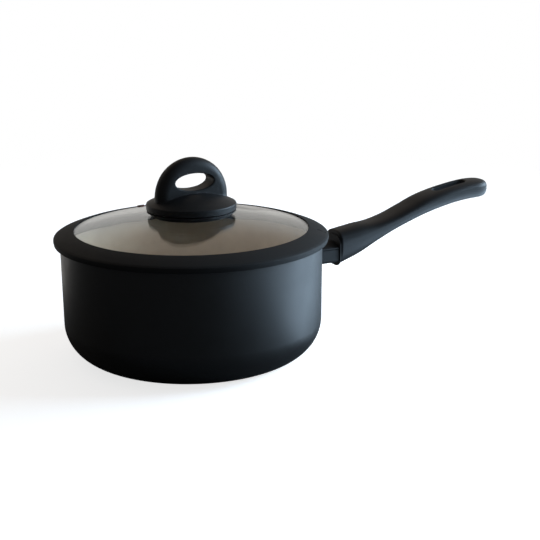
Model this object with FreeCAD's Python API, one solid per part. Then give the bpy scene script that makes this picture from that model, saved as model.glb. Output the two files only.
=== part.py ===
import FreeCAD, Part
import math
import os

from FreeCAD import Placement, Rotation, Vector

# Saucepan with a glass lid, a long handle and a finger-hole knob.
# Millimetres.  Origin: centre of the base's underside.  +X runs along the handle, +Z is up.

# --- pan ---
RIM_RADIUS = 100.0
PAN_HEIGHT = 91.5
WALL = 2.6
CORNER_RADIUS = 28.5
CORNER_TOP_RADIUS = 99.6
FLOOR_TOP = 4.7
FOOT_CLEARANCE = 0.35

# --- steel disc pressed into the base ---
DISC_RADIUS = 66.0
DISC_THICKNESS = 1.2
PEG_RADIUS = 2.6
PEG_RING_COUNT = 5
PEG_RING_START = 13.0
PEG_RING_STEP = 12.0
PEGS_PER_RING = 6
PEG_RECESS = 0.15
FIT = 0.05

# --- rim ring and glass dome of the lid ---
RING_RADIUS = 104.8
RING_TOP = 100.3
RING_INNER_RADIUS = 89.4
# radius and height of points along the ring's crown, from its middle to its outer edge
RING_CROWN_MIDDLE = (97.6, 98.5)
RING_CROWN_END = (103.2, 95.9)
RING_ROLL_MIDDLE = (104.4, 94.9)
RING_ROLL_END = (RING_RADIUS, 93.4)
SKIRT_BOTTOM = 90.3
SEAT_GAP = 0.3
SPIGOT_RADIUS = 96.7
SPIGOT_WIDTH = 2.9
SPIGOT_BOTTOM = 86.3
LOWER_LIP_RADIUS = 90.6
LOWER_LIP_BOTTOM = 92.6
GLASS_RADIUS = 95.0
GLASS_THICKNESS = 4.0
DOME_APEX = 110.6
DOME_RADIUS = 359.3
GLASS_HOLE_RADIUS = 3.6
MARK_AZIMUTH = -29.6
MARK_DASH = (95.7, 100.0)
MARK_DOT = 101.7
MARK_WIDTH = 1.2
MARK_DEPTH = 0.5

# --- steam vent ---
VENT_POSITION = (-10.0, 81.5)
VENT_HOLE_RADIUS = 2.9
VENT_BORE_RADIUS = 1.6
EYELET_RADIUS = 2.1
EYELET_FLANGE = 3.6
GROMMET_FLANGE = 4.3
GROMMET_LIP = 0.7
EYELET_LIP = 0.5

# --- knob ---
PLATE_RADIUS = 34.4
PLATE_BOTTOM = 113.6
PLATE_EDGE_TOP = 117.1
PLATE_MIDWAY = 124.5
PLATE_CROWN = 127.0
NECK_RADIUS = 31.0
SEAT_TOP = 113.0
SEAT_RADIUS = 34.0
SEAT_FOOT_RADIUS = 31.0
KNOB_GASKET = 0.4
LOOP_RADIUS = 29.0
LOOP_CENTRE_Z = 123.7
LOOP_THICKNESS = 15.0
LOOP_EDGE_ROUND = 7.0
LOOP_TURN = 3.0
FINGER_HOLE = (33.0, 13.0)
FINGER_HOLE_Z = 136.5
FINGER_HOLE_ROUND = 1.0
INSERT_RADIUS = 4.0
INSERT_TOP = 122.0
INSERT_BORE = 2.1
KNOB_SCREW_RADIUS = 2.5
KNOB_SCREW_TOP = 120.0
KNOB_HEAD_RADIUS = 4.6
KNOB_HEAD_HEIGHT = 2.7
SEAL_RADIUS = 9.0
SEAL_THICKNESS = 1.0
WASHER_RADIUS = 8.0
WASHER_THICKNESS = 1.0

# --- handle bracket, rivets and flame guard ---
PAD_INNER_RADIUS = 99.9
PAD_THICKNESS = 1.8
PAD_HALF_WIDTH = 12.5
PAD_BOTTOM = 56.5
PAD_TOP = 73.5
TANG_HALF_WIDTH = 4.5
TANG_BOTTOM = 66.0
TANG_TOP = 72.0
TANG_END = 145.0
PAD_ROUND = 3.0
TANG_ROUND = 2.0
RIVET_Y = 6.0
RIVET_Z = 62.6
RIVET_RADIUS = 1.8
RIVET_HEAD_RADIUS = 4.5
RIVET_HEAD_HEIGHT = 1.6
RIVET_TAIL_RADIUS = 2.8
RIVET_TAIL_HEIGHT = 1.5
RIVET_HEAD_SEAT = 0.35
RIVET_TAIL_SEAT = 0.15
GUARD_HALF_WIDTH = 11.0
GUARD_BOTTOM = 58.0
GUARD_SHOULDER = 71.0
GUARD_CROWN = 74.0
GUARD_END = 125.0
GUARD_ROUND = 3.2
GUARD_SHOULDER_ROUND = 0.8
GUARD_GROOVE_Z = 69.3
GUARD_GROOVE = 0.6
POCKET_END = 108.0
POCKET_HALF_WIDTH = 9.3
POCKET_BOTTOM = 59.6
POCKET_TOP = 70.6
TANG_GAP = 0.2

# --- handle ---
GASKET_THICKNESS = 1.0
GASKET_HALF_WIDTH = 12.6
GASKET_BOTTOM = 54.6
GASKET_TOP = 80.0
GASKET_ROUND = 8.0
# x, half width, height of the side ridge, crown above the ridge, depth below it
GRIP_STATIONS = (
    (126.0, 13.6, 76.0, 6.2, 21.4),
    (146.0, 13.4, 81.1, 4.8, 19.4),
    (162.0, 13.2, 85.4, 2.4, 15.6),
    (178.0, 13.4, 90.4, 1.2, 13.0),
    (194.0, 13.9, 96.2, 1.4, 12.6),
    (210.0, 14.3, 101.8, 2.3, 12.9),
    (226.0, 14.5, 105.5, 2.9, 12.4),
    (242.0, 14.5, 108.3, 3.2, 12.1),
    (258.0, 14.2, 110.2, 3.4, 12.4),
)
GRIP_END = 275.8
GRIP_END_Z = 104.5
GRIP_END_STEPS = (0.3, 0.55, 0.75, 0.88, 0.95, 0.985)
GRIP_SQUARENESS = 2.5
END_WIDTH_POWER = 2.5
END_HEIGHT_POWER = 5.0
SECTION_POINTS = 24
SLOT_START = 223.5
SLOT_END = 255.5
SLOT_HALF_WIDTH = 4.6
SLOT_CUT = (80.0, 125.0)
HANDLE_SCREW_X = 134.0
HANDLE_SCREW_RADIUS = 2.0
HANDLE_SCREW_HOLE = 1.65
HANDLE_SCREW_TOP = 74.0
HANDLE_HEAD_RADIUS = 3.8
HANDLE_HEAD_BOTTOM = 58.6
HANDLE_WASHER_BOTTOM = 61.2
HANDLE_WASHER_TOP = 62.0
HANDLE_WASHER_RADIUS = 4.5
BUSH_RADIUS = 3.3
BUSH_BORE = 2.15
COUNTERBORE_RADIUS = 4.8


def outline(start, *steps):
    """A closed wire in the XZ plane.  A step is (end,) for a line or (middle, end) for an arc."""
    edges = []
    here = start
    for step in steps:
        there = step[-1]
        a = Vector(here[0], 0, here[1])
        b = Vector(there[0], 0, there[1])
        if len(step) == 1:
            edges.append(Part.makeLine(a, b))
        else:
            middle = Vector(step[0][0], 0, step[0][1])
            edges.append(Part.Arc(a, middle, b).toShape())
        here = there
    return Part.Wire(edges)


def turned(start, *steps):
    """The solid that an outline makes when it is turned about the Z axis."""
    face = Part.Face(outline(start, *steps))
    solid = face.revolve(Vector(0, 0, 0), Vector(0, 0, 1), 360)
    return solid


def rod(radius, bottom, top, x=0.0, y=0.0):
    """An upright cylinder between two heights."""
    return Part.makeCylinder(radius, top - bottom, Vector(x, y, bottom))


def block(x0, x1, y0, y1, z0, z1):
    """A box between two corners."""
    return Part.makeBox(x1 - x0, y1 - y0, z1 - z0, Vector(x0, y0, z0))


def edges_along(shape, direction, accept):
    """The straight edges that run along a direction and whose middles are accepted."""
    found = []
    for edge in shape.Edges:
        if edge.Curve.TypeId != "Part::GeomLine":
            continue
        if edge.tangentAt(edge.FirstParameter).cross(direction).Length < 1e-6:
            if accept(edge.CenterOfMass):
                found.append(edge)
    return found


def dome_z(radius, below=0.0):
    """Height of the dome at a radius, on the surface that lies this far below the outer one."""
    sphere = DOME_RADIUS - below
    return DOME_APEX - DOME_RADIUS + math.sqrt(sphere ** 2 - radius ** 2)


def on_dome(radius, below=0.0):
    """The point of the outline on that surface."""
    return (radius, dome_z(radius, below))


def dome_arc(radius_from, radius_to, below=0.0):
    """The arc step that follows that surface to a radius."""
    middle = (radius_from + radius_to) / 2
    return (on_dome(middle, below), on_dome(radius_to, below))


def peg_centres():
    """Centres of the pegs that lock the disc to the base, in rings."""
    for ring in range(PEG_RING_COUNT):
        radius = PEG_RING_START + ring * PEG_RING_STEP
        count = PEGS_PER_RING * (ring + 1)
        for index in range(count):
            angle = 2 * math.pi * index / count
            yield radius * math.cos(angle), radius * math.sin(angle)


def rivet_placement(side):
    """Turns a rivet that points along +X to its place in the wall."""
    azimuth = math.degrees(math.atan2(side * RIVET_Y, RIM_RADIUS))
    return Placement(Vector(0, 0, RIVET_Z), Rotation(Vector(0, 0, 1), azimuth))


def pan_body():
    corner_x = CORNER_TOP_RADIUS - CORNER_RADIUS
    corner_z = FOOT_CLEARANCE + CORNER_RADIUS
    inner_radius = CORNER_RADIUS - WALL
    inner_z = FLOOR_TOP + inner_radius
    diagonal = math.sqrt(0.5)
    rim_round = WALL / 2
    rim_z = PAN_HEIGHT - rim_round
    body = turned(
        (0, DISC_THICKNESS),
        ((DISC_RADIUS + FIT, DISC_THICKNESS),),
        ((DISC_RADIUS + FIT, FOOT_CLEARANCE),),
        ((corner_x, FOOT_CLEARANCE),),
        ((corner_x + CORNER_RADIUS * diagonal, corner_z - CORNER_RADIUS * diagonal),
         (CORNER_TOP_RADIUS, corner_z)),
        ((RIM_RADIUS, rim_z),),
        ((RIM_RADIUS - rim_round, PAN_HEIGHT), (RIM_RADIUS - WALL, rim_z)),
        ((CORNER_TOP_RADIUS - WALL, inner_z),),
        ((corner_x + inner_radius * diagonal, inner_z - inner_radius * diagonal),
         (corner_x, FLOOR_TOP)),
        ((0, FLOOR_TOP),),
        ((0, DISC_THICKNESS),),
    )
    pegs = [rod(PEG_RADIUS, PEG_RECESS, DISC_THICKNESS + 1, x, y) for x, y in peg_centres()]
    body = body.fuse(pegs).removeSplitter()
    for side in (-1, 1):
        hole = Part.makeCylinder(RIVET_RADIUS + FIT, 2 * CORNER_RADIUS,
                                 Vector(RIM_RADIUS - CORNER_RADIUS, 0, 0), Vector(1, 0, 0))
        hole.Placement = rivet_placement(side)
        body = body.cut(hole)
    return body


def base_disc():
    disc = rod(DISC_RADIUS, 0, DISC_THICKNESS)
    holes = [rod(PEG_RADIUS + FIT, -1, DISC_THICKNESS + 1, x, y) for x, y in peg_centres()]
    return disc.cut(holes)


def lid_glass():
    glass = turned(
        on_dome(GLASS_HOLE_RADIUS),
        dome_arc(GLASS_HOLE_RADIUS, GLASS_RADIUS),
        (on_dome(GLASS_RADIUS, GLASS_THICKNESS),),
        dome_arc(GLASS_RADIUS, GLASS_HOLE_RADIUS, GLASS_THICKNESS),
        (on_dome(GLASS_HOLE_RADIUS),),
    )
    hole = rod(VENT_HOLE_RADIUS, -2 * GLASS_THICKNESS, GLASS_THICKNESS)
    hole.Placement = vent_placement()
    return glass.cut(hole)


def lid_rim_ring():
    seat = PAN_HEIGHT + SEAT_GAP
    groove = GLASS_RADIUS + FIT
    below_glass = GLASS_THICKNESS + FIT
    spigot_inner = SPIGOT_RADIUS - SPIGOT_WIDTH
    ring = turned(
        on_dome(RING_INNER_RADIUS, -FIT),
        ((RING_INNER_RADIUS + 0.1, RING_TOP - 0.3), (RING_INNER_RADIUS + 0.6, RING_TOP)),
        (RING_CROWN_MIDDLE, RING_CROWN_END),
        (RING_ROLL_MIDDLE, RING_ROLL_END),
        ((RING_RADIUS - 0.4, SKIRT_BOTTOM + 0.8),),
        ((RING_RADIUS - 0.8, SKIRT_BOTTOM + 0.1), (RING_RADIUS - 1.6, SKIRT_BOTTOM)),
        ((RING_RADIUS - 3.2, SKIRT_BOTTOM + 0.6),),
        ((RING_RADIUS - 3.8, seat),),
        ((SPIGOT_RADIUS + 0.2, seat),),
        ((SPIGOT_RADIUS - 0.2, SPIGOT_BOTTOM + 0.9),),
        ((SPIGOT_RADIUS - 1.4, SPIGOT_BOTTOM), (spigot_inner + 0.4, SPIGOT_BOTTOM + 0.9)),
        ((spigot_inner, LOWER_LIP_BOTTOM - 0.8),),
        ((LOWER_LIP_RADIUS, LOWER_LIP_BOTTOM),),
        (on_dome(LOWER_LIP_RADIUS, below_glass),),
        dome_arc(LOWER_LIP_RADIUS, groove, below_glass),
        (on_dome(groove, -FIT),),
        dome_arc(groove, RING_INNER_RADIUS, -FIT),
    )
    for mark in ring_marks():
        ring = ring.cut(mark)
    return ring


def ring_marks():
    """A dash and a dot that point at the side to pour from, sunk into the ring's top."""
    inner, outer = MARK_DASH
    end_radius, end_height = RING_CROWN_END
    slope = math.degrees(math.atan2(RING_TOP - end_height, end_radius - RING_INNER_RADIUS))
    middle = (inner + outer) / 2
    half = MARK_WIDTH / 2
    dash = block(inner - middle, outer - middle, -half, half, 0, 2)
    dash = dash.makeFillet(half * 0.9, edges_along(dash, Vector(0, 0, 1), lambda point: True))
    dot = rod(half, 0, 2, MARK_DOT - middle)
    marks = []
    for mark, drop in ((dash, MARK_DEPTH), (dot, MARK_DEPTH + 0.3)):
        mark.rotate(Vector(0, 0, 0), Vector(0, 1, 0), slope)
        mark.translate(Vector(middle, 0, RING_CROWN_MIDDLE[1] - drop))
        mark.rotate(Vector(0, 0, 0), Vector(0, 0, 1), MARK_AZIMUTH)
        marks.append(mark)
    return marks


def vent_placement():
    """Stands a piece turned about Z square on the dome at the vent."""
    x, y = VENT_POSITION
    radius = math.hypot(x, y)
    azimuth = math.degrees(math.atan2(y, x))
    tilt = math.degrees(math.asin(radius / DOME_RADIUS))
    turn = Rotation(Vector(0, 0, 1), azimuth).multiply(Rotation(Vector(0, 1, 0), tilt))
    return Placement(Vector(x, y, dome_z(radius)), turn)


def vent_eyelet():
    top = GROMMET_LIP + EYELET_LIP
    bottom = -GLASS_THICKNESS - GROMMET_LIP - EYELET_LIP
    eyelet = turned(
        (VENT_BORE_RADIUS, bottom),
        ((VENT_BORE_RADIUS, top - 0.2),),
        ((VENT_BORE_RADIUS + 0.1, top), (VENT_BORE_RADIUS + 0.4, top + 0.1),),
        ((EYELET_FLANGE - 0.4, top), (EYELET_FLANGE, GROMMET_LIP)),
        ((EYELET_RADIUS, GROMMET_LIP),),
        ((EYELET_RADIUS, bottom + EYELET_LIP),),
        ((EYELET_FLANGE - 0.4, bottom + EYELET_LIP),),
        ((EYELET_FLANGE - 0.6, bottom),),
        ((VENT_BORE_RADIUS, bottom),),
    )
    eyelet.Placement = vent_placement()
    return eyelet


def vent_grommet():
    hole = VENT_HOLE_RADIUS - FIT
    bore = EYELET_RADIUS + FIT
    bottom = -GLASS_THICKNESS - GROMMET_LIP
    grommet = turned(
        (bore, bottom),
        ((bore, GROMMET_LIP),),
        ((GROMMET_FLANGE - 0.3, GROMMET_LIP),),
        ((GROMMET_FLANGE - 0.1, GROMMET_LIP - 0.1), (GROMMET_FLANGE, 0.1)),
        ((hole, 0.1),),
        ((hole, -GLASS_THICKNESS - 0.1),),
        ((GROMMET_FLANGE, -GLASS_THICKNESS - 0.1),),
        ((GROMMET_FLANGE - 0.3, bottom),),
        ((bore, bottom),),
    )
    grommet.Placement = vent_placement()
    return grommet


def knob_plate():
    return turned(
        (0, SEAT_TOP),
        ((NECK_RADIUS, SEAT_TOP),),
        ((NECK_RADIUS, PLATE_BOTTOM),),
        ((PLATE_RADIUS - 0.8, PLATE_BOTTOM),),
        ((PLATE_RADIUS - 0.2, PLATE_BOTTOM + 0.2), (PLATE_RADIUS, PLATE_BOTTOM + 0.8)),
        ((PLATE_RADIUS, PLATE_EDGE_TOP - 0.7),),
        ((PLATE_RADIUS - 0.4, PLATE_EDGE_TOP + 0.1), (PLATE_RADIUS - 1.4, PLATE_EDGE_TOP + 0.6)),
        ((PLATE_RADIUS / 2, PLATE_MIDWAY), (0, PLATE_CROWN)),
        ((0, SEAT_TOP),),
    )


def knob_loop():
    half = LOOP_THICKNESS / 2
    foot = SEAT_TOP + 3
    wire = outline(
        (-LOOP_RADIUS, foot),
        ((-LOOP_RADIUS, LOOP_CENTRE_Z),),
        ((0, LOOP_CENTRE_Z + LOOP_RADIUS), (LOOP_RADIUS, LOOP_CENTRE_Z)),
        ((LOOP_RADIUS, foot),),
        ((-LOOP_RADIUS, foot),),
    )
    wire.translate(Vector(0, -half, 0))
    loop = Part.Face(wire).extrude(Vector(0, LOOP_THICKNESS, 0))
    rim = [edge for edge in loop.Edges
           if abs(abs(edge.CenterOfMass.y) - half) < 1e-6 and edge.CenterOfMass.z > foot + 1]
    loop = loop.makeFillet(LOOP_EDGE_ROUND, rim)
    length, height = FINGER_HOLE
    ellipse = Part.Ellipse(Vector(length / 2, 0, 0), Vector(0, height / 2, 0), Vector(0, 0, 0))
    hole = Part.Face(Part.Wire(ellipse.toShape())).extrude(Vector(0, 0, 2 * LOOP_THICKNESS))
    hole.rotate(Vector(0, 0, 0), Vector(1, 0, 0), 90)
    hole.translate(Vector(0, LOOP_THICKNESS, FINGER_HOLE_Z))
    loop = loop.cut(hole)
    brim = [edge for edge in loop.Edges if around_hole(edge)]
    loop = loop.makeFillet(FINGER_HOLE_ROUND, brim)
    loop.rotate(Vector(0, 0, 0), Vector(0, 0, 1), LOOP_TURN)
    return loop


def around_hole(edge):
    """True for the two edges where the finger hole meets the loop's faces."""
    box = edge.BoundBox
    length, height = FINGER_HOLE
    wide = abs(box.XLength - length) < 1
    return wide and abs(box.ZLength - height) < 1 and box.YLength < LOOP_THICKNESS / 3


def knob_grip():
    grip = knob_plate().fuse(knob_loop()).removeSplitter()
    bore = rod(INSERT_RADIUS + FIT, SEAT_TOP - 1, INSERT_TOP)
    return grip.cut(bore)


def knob_seat():
    foot = (SEAT_FOOT_RADIUS, dome_z(SEAT_FOOT_RADIUS, -KNOB_GASKET))
    bowl = ((SEAT_RADIUS + SEAT_FOOT_RADIUS) / 2 + 0.9, (SEAT_TOP + foot[1]) / 2 - 0.6)
    inner = KNOB_SCREW_RADIUS + 0.5
    return turned(
        (inner, SEAT_TOP),
        ((SEAT_RADIUS - 0.6, SEAT_TOP),),
        ((SEAT_RADIUS - 0.15, SEAT_TOP - 0.15), (SEAT_RADIUS, SEAT_TOP - 0.6)),
        (bowl, foot),
        dome_arc(SEAT_FOOT_RADIUS, inner, -KNOB_GASKET),
        ((inner, SEAT_TOP),),
    )


def knob_gasket():
    inner = KNOB_SCREW_RADIUS + 1.2
    outer = SEAT_FOOT_RADIUS - 0.8
    return turned(
        on_dome(inner),
        dome_arc(inner, outer),
        (on_dome(outer, -KNOB_GASKET),),
        dome_arc(outer, inner, -KNOB_GASKET),
        (on_dome(inner),),
    )


def knob_insert():
    """A threaded brass insert with two locking grooves."""
    groove = INSERT_RADIUS - 0.6
    step = (INSERT_TOP - SEAT_TOP) / 5
    steps = [((INSERT_RADIUS, SEAT_TOP),)]
    for index in (1, 3):
        steps.append(((INSERT_RADIUS, SEAT_TOP + index * step),))
        steps.append(((groove, SEAT_TOP + (index + 0.15) * step),))
        steps.append(((groove, SEAT_TOP + (index + 0.85) * step),))
        steps.append(((INSERT_RADIUS, SEAT_TOP + (index + 1) * step),))
    steps.append(((INSERT_RADIUS, INSERT_TOP),))
    steps.append(((INSERT_BORE, INSERT_TOP),))
    steps.append(((INSERT_BORE, SEAT_TOP),))
    return turned((INSERT_BORE, SEAT_TOP), *steps)


def knob_seal():
    """A silicone washer under the glass, with a sleeve through the glass hole."""
    bore = KNOB_SCREW_RADIUS + FIT
    sleeve = GLASS_HOLE_RADIUS - FIT
    bottom = DOME_APEX - GLASS_THICKNESS - SEAL_THICKNESS
    return turned(
        (bore, bottom),
        ((SEAL_RADIUS, bottom),),
        (on_dome(SEAL_RADIUS, GLASS_THICKNESS),),
        dome_arc(SEAL_RADIUS, sleeve, GLASS_THICKNESS),
        (on_dome(sleeve),),
        ((bore, dome_z(sleeve)),),
        ((bore, bottom),),
    )


def knob_washer():
    top = DOME_APEX - GLASS_THICKNESS - SEAL_THICKNESS
    washer = rod(WASHER_RADIUS, top - WASHER_THICKNESS, top)
    return washer.cut(rod(KNOB_SCREW_RADIUS + FIT, top - 2 * WASHER_THICKNESS, top + 1))


def cross_recess(radius, depth):
    """A cross-shaped driver recess that opens downwards at the origin."""
    arm = block(-radius, radius, -radius / 4, radius / 4, -1, depth)
    other = block(-radius / 4, radius / 4, -radius, radius, -1, depth)
    return arm.fuse(other)


def pan_head_screw(head_radius, head_height, shank_radius, length):
    """A screw that points up, with the underside of its head at the origin's height."""
    screw = turned(
        (0, length),
        ((0, -head_height),),
        ((head_radius * 0.7, -head_height * 0.86), (head_radius, -head_height * 0.35)),
        ((head_radius, 0),),
        ((shank_radius, 0),),
        ((shank_radius, length - 0.5),),
        ((shank_radius - 0.5, length),),
        ((0, length),),
    )
    recess = cross_recess(head_radius * 0.5, head_height * 0.45)
    recess.translate(Vector(0, 0, -head_height))
    return screw.cut(recess)


def knob_screw():
    under_head = DOME_APEX - GLASS_THICKNESS - SEAL_THICKNESS - WASHER_THICKNESS
    screw = pan_head_screw(KNOB_HEAD_RADIUS, KNOB_HEAD_HEIGHT, KNOB_SCREW_RADIUS,
                           KNOB_SCREW_TOP - under_head)
    screw.translate(Vector(0, 0, under_head))
    return screw


def handle_bracket():
    """A pad that lies on the pan's wall and a tang that reaches into the handle."""
    shell = rod(PAD_INNER_RADIUS + PAD_THICKNESS, PAD_BOTTOM, PAD_TOP)
    shell = shell.cut(rod(PAD_INNER_RADIUS, PAD_BOTTOM - 1, PAD_TOP + 1))
    pad = block(RIM_RADIUS - 10, RIM_RADIUS + 10, -PAD_HALF_WIDTH, PAD_HALF_WIDTH, PAD_BOTTOM, PAD_TOP)
    pad = pad.makeFillet(PAD_ROUND, edges_along(pad, Vector(1, 0, 0), lambda point: True))
    pad = pad.common(shell)
    tang = block(PAD_INNER_RADIUS + 0.5, TANG_END, -TANG_HALF_WIDTH, TANG_HALF_WIDTH,
                 TANG_BOTTOM, TANG_TOP)
    tip = edges_along(tang, Vector(0, 0, 1), lambda point: point.x > TANG_END - 1)
    tang = tang.makeFillet(TANG_ROUND, tip)
    bracket = pad.fuse(tang).removeSplitter()
    bracket = bracket.cut(rod(HANDLE_SCREW_HOLE, TANG_BOTTOM - 1, TANG_TOP + 1, HANDLE_SCREW_X))
    for side in (-1, 1):
        hole = Part.makeCylinder(RIVET_RADIUS + FIT, 20, Vector(RIM_RADIUS - 10, 0, 0),
                                 Vector(1, 0, 0))
        hole.Placement = rivet_placement(side)
        bracket = bracket.cut(hole)
    return bracket


def bracket_rivets():
    """Two rivets: a low round head inside the pan and a flat tail on the pad."""
    tail = PAD_INNER_RADIUS + PAD_THICKNESS + RIVET_TAIL_SEAT
    inside = RIM_RADIUS - WALL - RIVET_HEAD_SEAT
    rivets = []
    for side in (-1, 1):
        rivet = turned(
            (0, inside - RIVET_HEAD_HEIGHT),
            ((RIVET_HEAD_RADIUS * 0.62, inside - RIVET_HEAD_HEIGHT * 0.75),
             (RIVET_HEAD_RADIUS, inside)),
            ((RIVET_RADIUS, inside),),
            ((RIVET_RADIUS, tail),),
            ((RIVET_TAIL_RADIUS, tail),),
            ((RIVET_TAIL_RADIUS - 0.5, tail + RIVET_TAIL_HEIGHT),),
            ((0, tail + RIVET_TAIL_HEIGHT),),
            ((0, inside - RIVET_HEAD_HEIGHT),),
        )
        rivet.rotate(Vector(0, 0, 0), Vector(0, 1, 0), 90)
        rivet.Placement = rivet_placement(side).multiply(rivet.Placement)
        rivets.append(rivet)
    return Part.makeCompound(rivets)


def tang_channel(x0, x1, gap):
    return block(x0, x1, -TANG_HALF_WIDTH - gap, TANG_HALF_WIDTH + gap,
                 TANG_BOTTOM - gap, TANG_TOP + gap)


def flame_guard():
    """A crowned hollow block between the pad and the handle."""
    start = RIM_RADIUS - 5
    width = GUARD_HALF_WIDTH
    wire = outline(
        (-width, GUARD_BOTTOM),
        ((width, GUARD_BOTTOM),),
        ((width, GUARD_SHOULDER),),
        ((0, GUARD_CROWN), (-width, GUARD_SHOULDER)),
        ((-width, GUARD_BOTTOM),),
    )
    wire.rotate(Vector(0, 0, 0), Vector(0, 0, 1), 90)
    guard = Part.Face(wire).extrude(Vector(GUARD_END, 0, 0))
    lower = edges_along(guard, Vector(1, 0, 0), lambda point: point.z < GUARD_BOTTOM + 1)
    guard = guard.makeFillet(GUARD_ROUND, lower)
    upper = edges_along(guard, Vector(1, 0, 0), lambda point: abs(point.z - GUARD_SHOULDER) < 0.1)
    guard = guard.makeFillet(GUARD_SHOULDER_ROUND, upper)
    guard = guard.cut(rod(PAD_INNER_RADIUS + PAD_THICKNESS + FIT, 0, PAN_HEIGHT))
    guard = guard.cut(block(start, POCKET_END, -POCKET_HALF_WIDTH, POCKET_HALF_WIDTH,
                            POCKET_BOTTOM, POCKET_TOP))
    guard = guard.cut(tang_channel(start, GUARD_END + 1, TANG_GAP))
    for side in (-1, 1):
        y = side * width
        guard = guard.cut(block(start, GUARD_END + 1, y - GUARD_GROOVE, y + GUARD_GROOVE,
                                GUARD_GROOVE_Z, GUARD_GROOVE_Z + GUARD_GROOVE))
    return guard


def handle_gasket():
    end = GUARD_END + GASKET_THICKNESS
    gasket = block(GUARD_END, end, -GASKET_HALF_WIDTH, GASKET_HALF_WIDTH, GASKET_BOTTOM, GASKET_TOP)
    gasket = gasket.makeFillet(GASKET_ROUND, edges_along(gasket, Vector(1, 0, 0), lambda point: True))
    return gasket.cut(tang_channel(GUARD_END - 1, end + 1, TANG_GAP))


def grip_section(x, half_width, ridge, crown, depth):
    """A closed smooth section: a low crown above the side ridges, a full belly below them."""
    points = []
    for index in range(SECTION_POINTS):
        angle = 2 * math.pi * index / SECTION_POINTS
        across = math.cos(angle)
        up = math.sin(angle)
        power = 2 / GRIP_SQUARENESS
        height = crown if up > 0 else depth
        y = half_width * math.copysign(abs(across) ** power, across)
        z = ridge + height * math.copysign(abs(up) ** power, up)
        points.append(Vector(x, y, z))
    curve = Part.BSplineCurve()
    curve.interpolate(Points=points, PeriodicFlag=True)
    return Part.Wire(curve.toShape())


def grip_sections():
    """The sections along the handle, then the ones that round off its end."""
    sections = [grip_section(*station) for station in GRIP_STATIONS]
    x, half_width, ridge, crown, depth = GRIP_STATIONS[-1]
    for part in GRIP_END_STEPS:
        narrow = (1 - part ** END_WIDTH_POWER) ** (1 / END_WIDTH_POWER)
        low = (1 - part ** END_HEIGHT_POWER) ** (1 / END_HEIGHT_POWER)
        sections.append(grip_section(
            x + part * (GRIP_END - x),
            half_width * narrow,
            GRIP_END_Z + (ridge - GRIP_END_Z) * low,
            crown * low,
            depth * low,
        ))
    return sections


def handle_grip():
    grip = Part.makeLoft(grip_sections(), True, False, False, 3)
    slot = block(SLOT_START, SLOT_END, -SLOT_HALF_WIDTH, SLOT_HALF_WIDTH, *SLOT_CUT)
    ends = edges_along(slot, Vector(0, 0, 1), lambda point: True)
    slot = slot.makeFillet(SLOT_HALF_WIDTH * 0.98, ends)
    grip = grip.cut(slot)
    grip = grip.cut(tang_channel(GUARD_END, TANG_END + TANG_GAP, TANG_GAP))
    grip = grip.cut(rod(COUNTERBORE_RADIUS, 50, HANDLE_WASHER_TOP, HANDLE_SCREW_X))
    grip = grip.cut(rod(BUSH_RADIUS + FIT, HANDLE_WASHER_TOP - 1, TANG_BOTTOM, HANDLE_SCREW_X))
    return grip.cut(rod(HANDLE_SCREW_RADIUS + 0.5, TANG_TOP, HANDLE_SCREW_TOP + 1, HANDLE_SCREW_X))


def handle_bush():
    bush = rod(BUSH_RADIUS, HANDLE_WASHER_TOP, TANG_BOTTOM, HANDLE_SCREW_X)
    return bush.cut(rod(BUSH_BORE, 50, TANG_TOP, HANDLE_SCREW_X))


def handle_washer():
    washer = rod(HANDLE_WASHER_RADIUS, HANDLE_WASHER_BOTTOM, HANDLE_WASHER_TOP, HANDLE_SCREW_X)
    return washer.cut(rod(BUSH_BORE, 50, TANG_TOP, HANDLE_SCREW_X))


def handle_screw():
    screw = pan_head_screw(HANDLE_HEAD_RADIUS, HANDLE_WASHER_BOTTOM - HANDLE_HEAD_BOTTOM,
                           HANDLE_SCREW_RADIUS, HANDLE_SCREW_TOP - HANDLE_WASHER_BOTTOM)
    screw.translate(Vector(HANDLE_SCREW_X, 0, HANDLE_WASHER_BOTTOM))
    return screw


PIECES = (
    pan_body,
    base_disc,
    handle_bracket,
    bracket_rivets,
    flame_guard,
    handle_gasket,
    handle_grip,
    handle_bush,
    handle_washer,
    handle_screw,
    lid_glass,
    lid_rim_ring,
    vent_eyelet,
    vent_grommet,
    knob_grip,
    knob_seat,
    knob_gasket,
    knob_insert,
    knob_seal,
    knob_washer,
    knob_screw,
)


def main():
    os.makedirs("parts", exist_ok=True)
    for piece in PIECES:
        shape = piece()
        shape.exportStep("parts/" + piece.__name__ + ".step")
        print(piece.__name__, shape.isValid(), len(shape.Solids), round(shape.Volume, 1))


main()
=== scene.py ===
"""Saucepan with a glass lid: the meshes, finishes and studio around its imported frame."""

import math

import bmesh
import bpy
from bpy.props import FloatProperty, FloatVectorProperty, IntProperty, PointerProperty
from mathutils import Euler, Matrix, Vector


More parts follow.
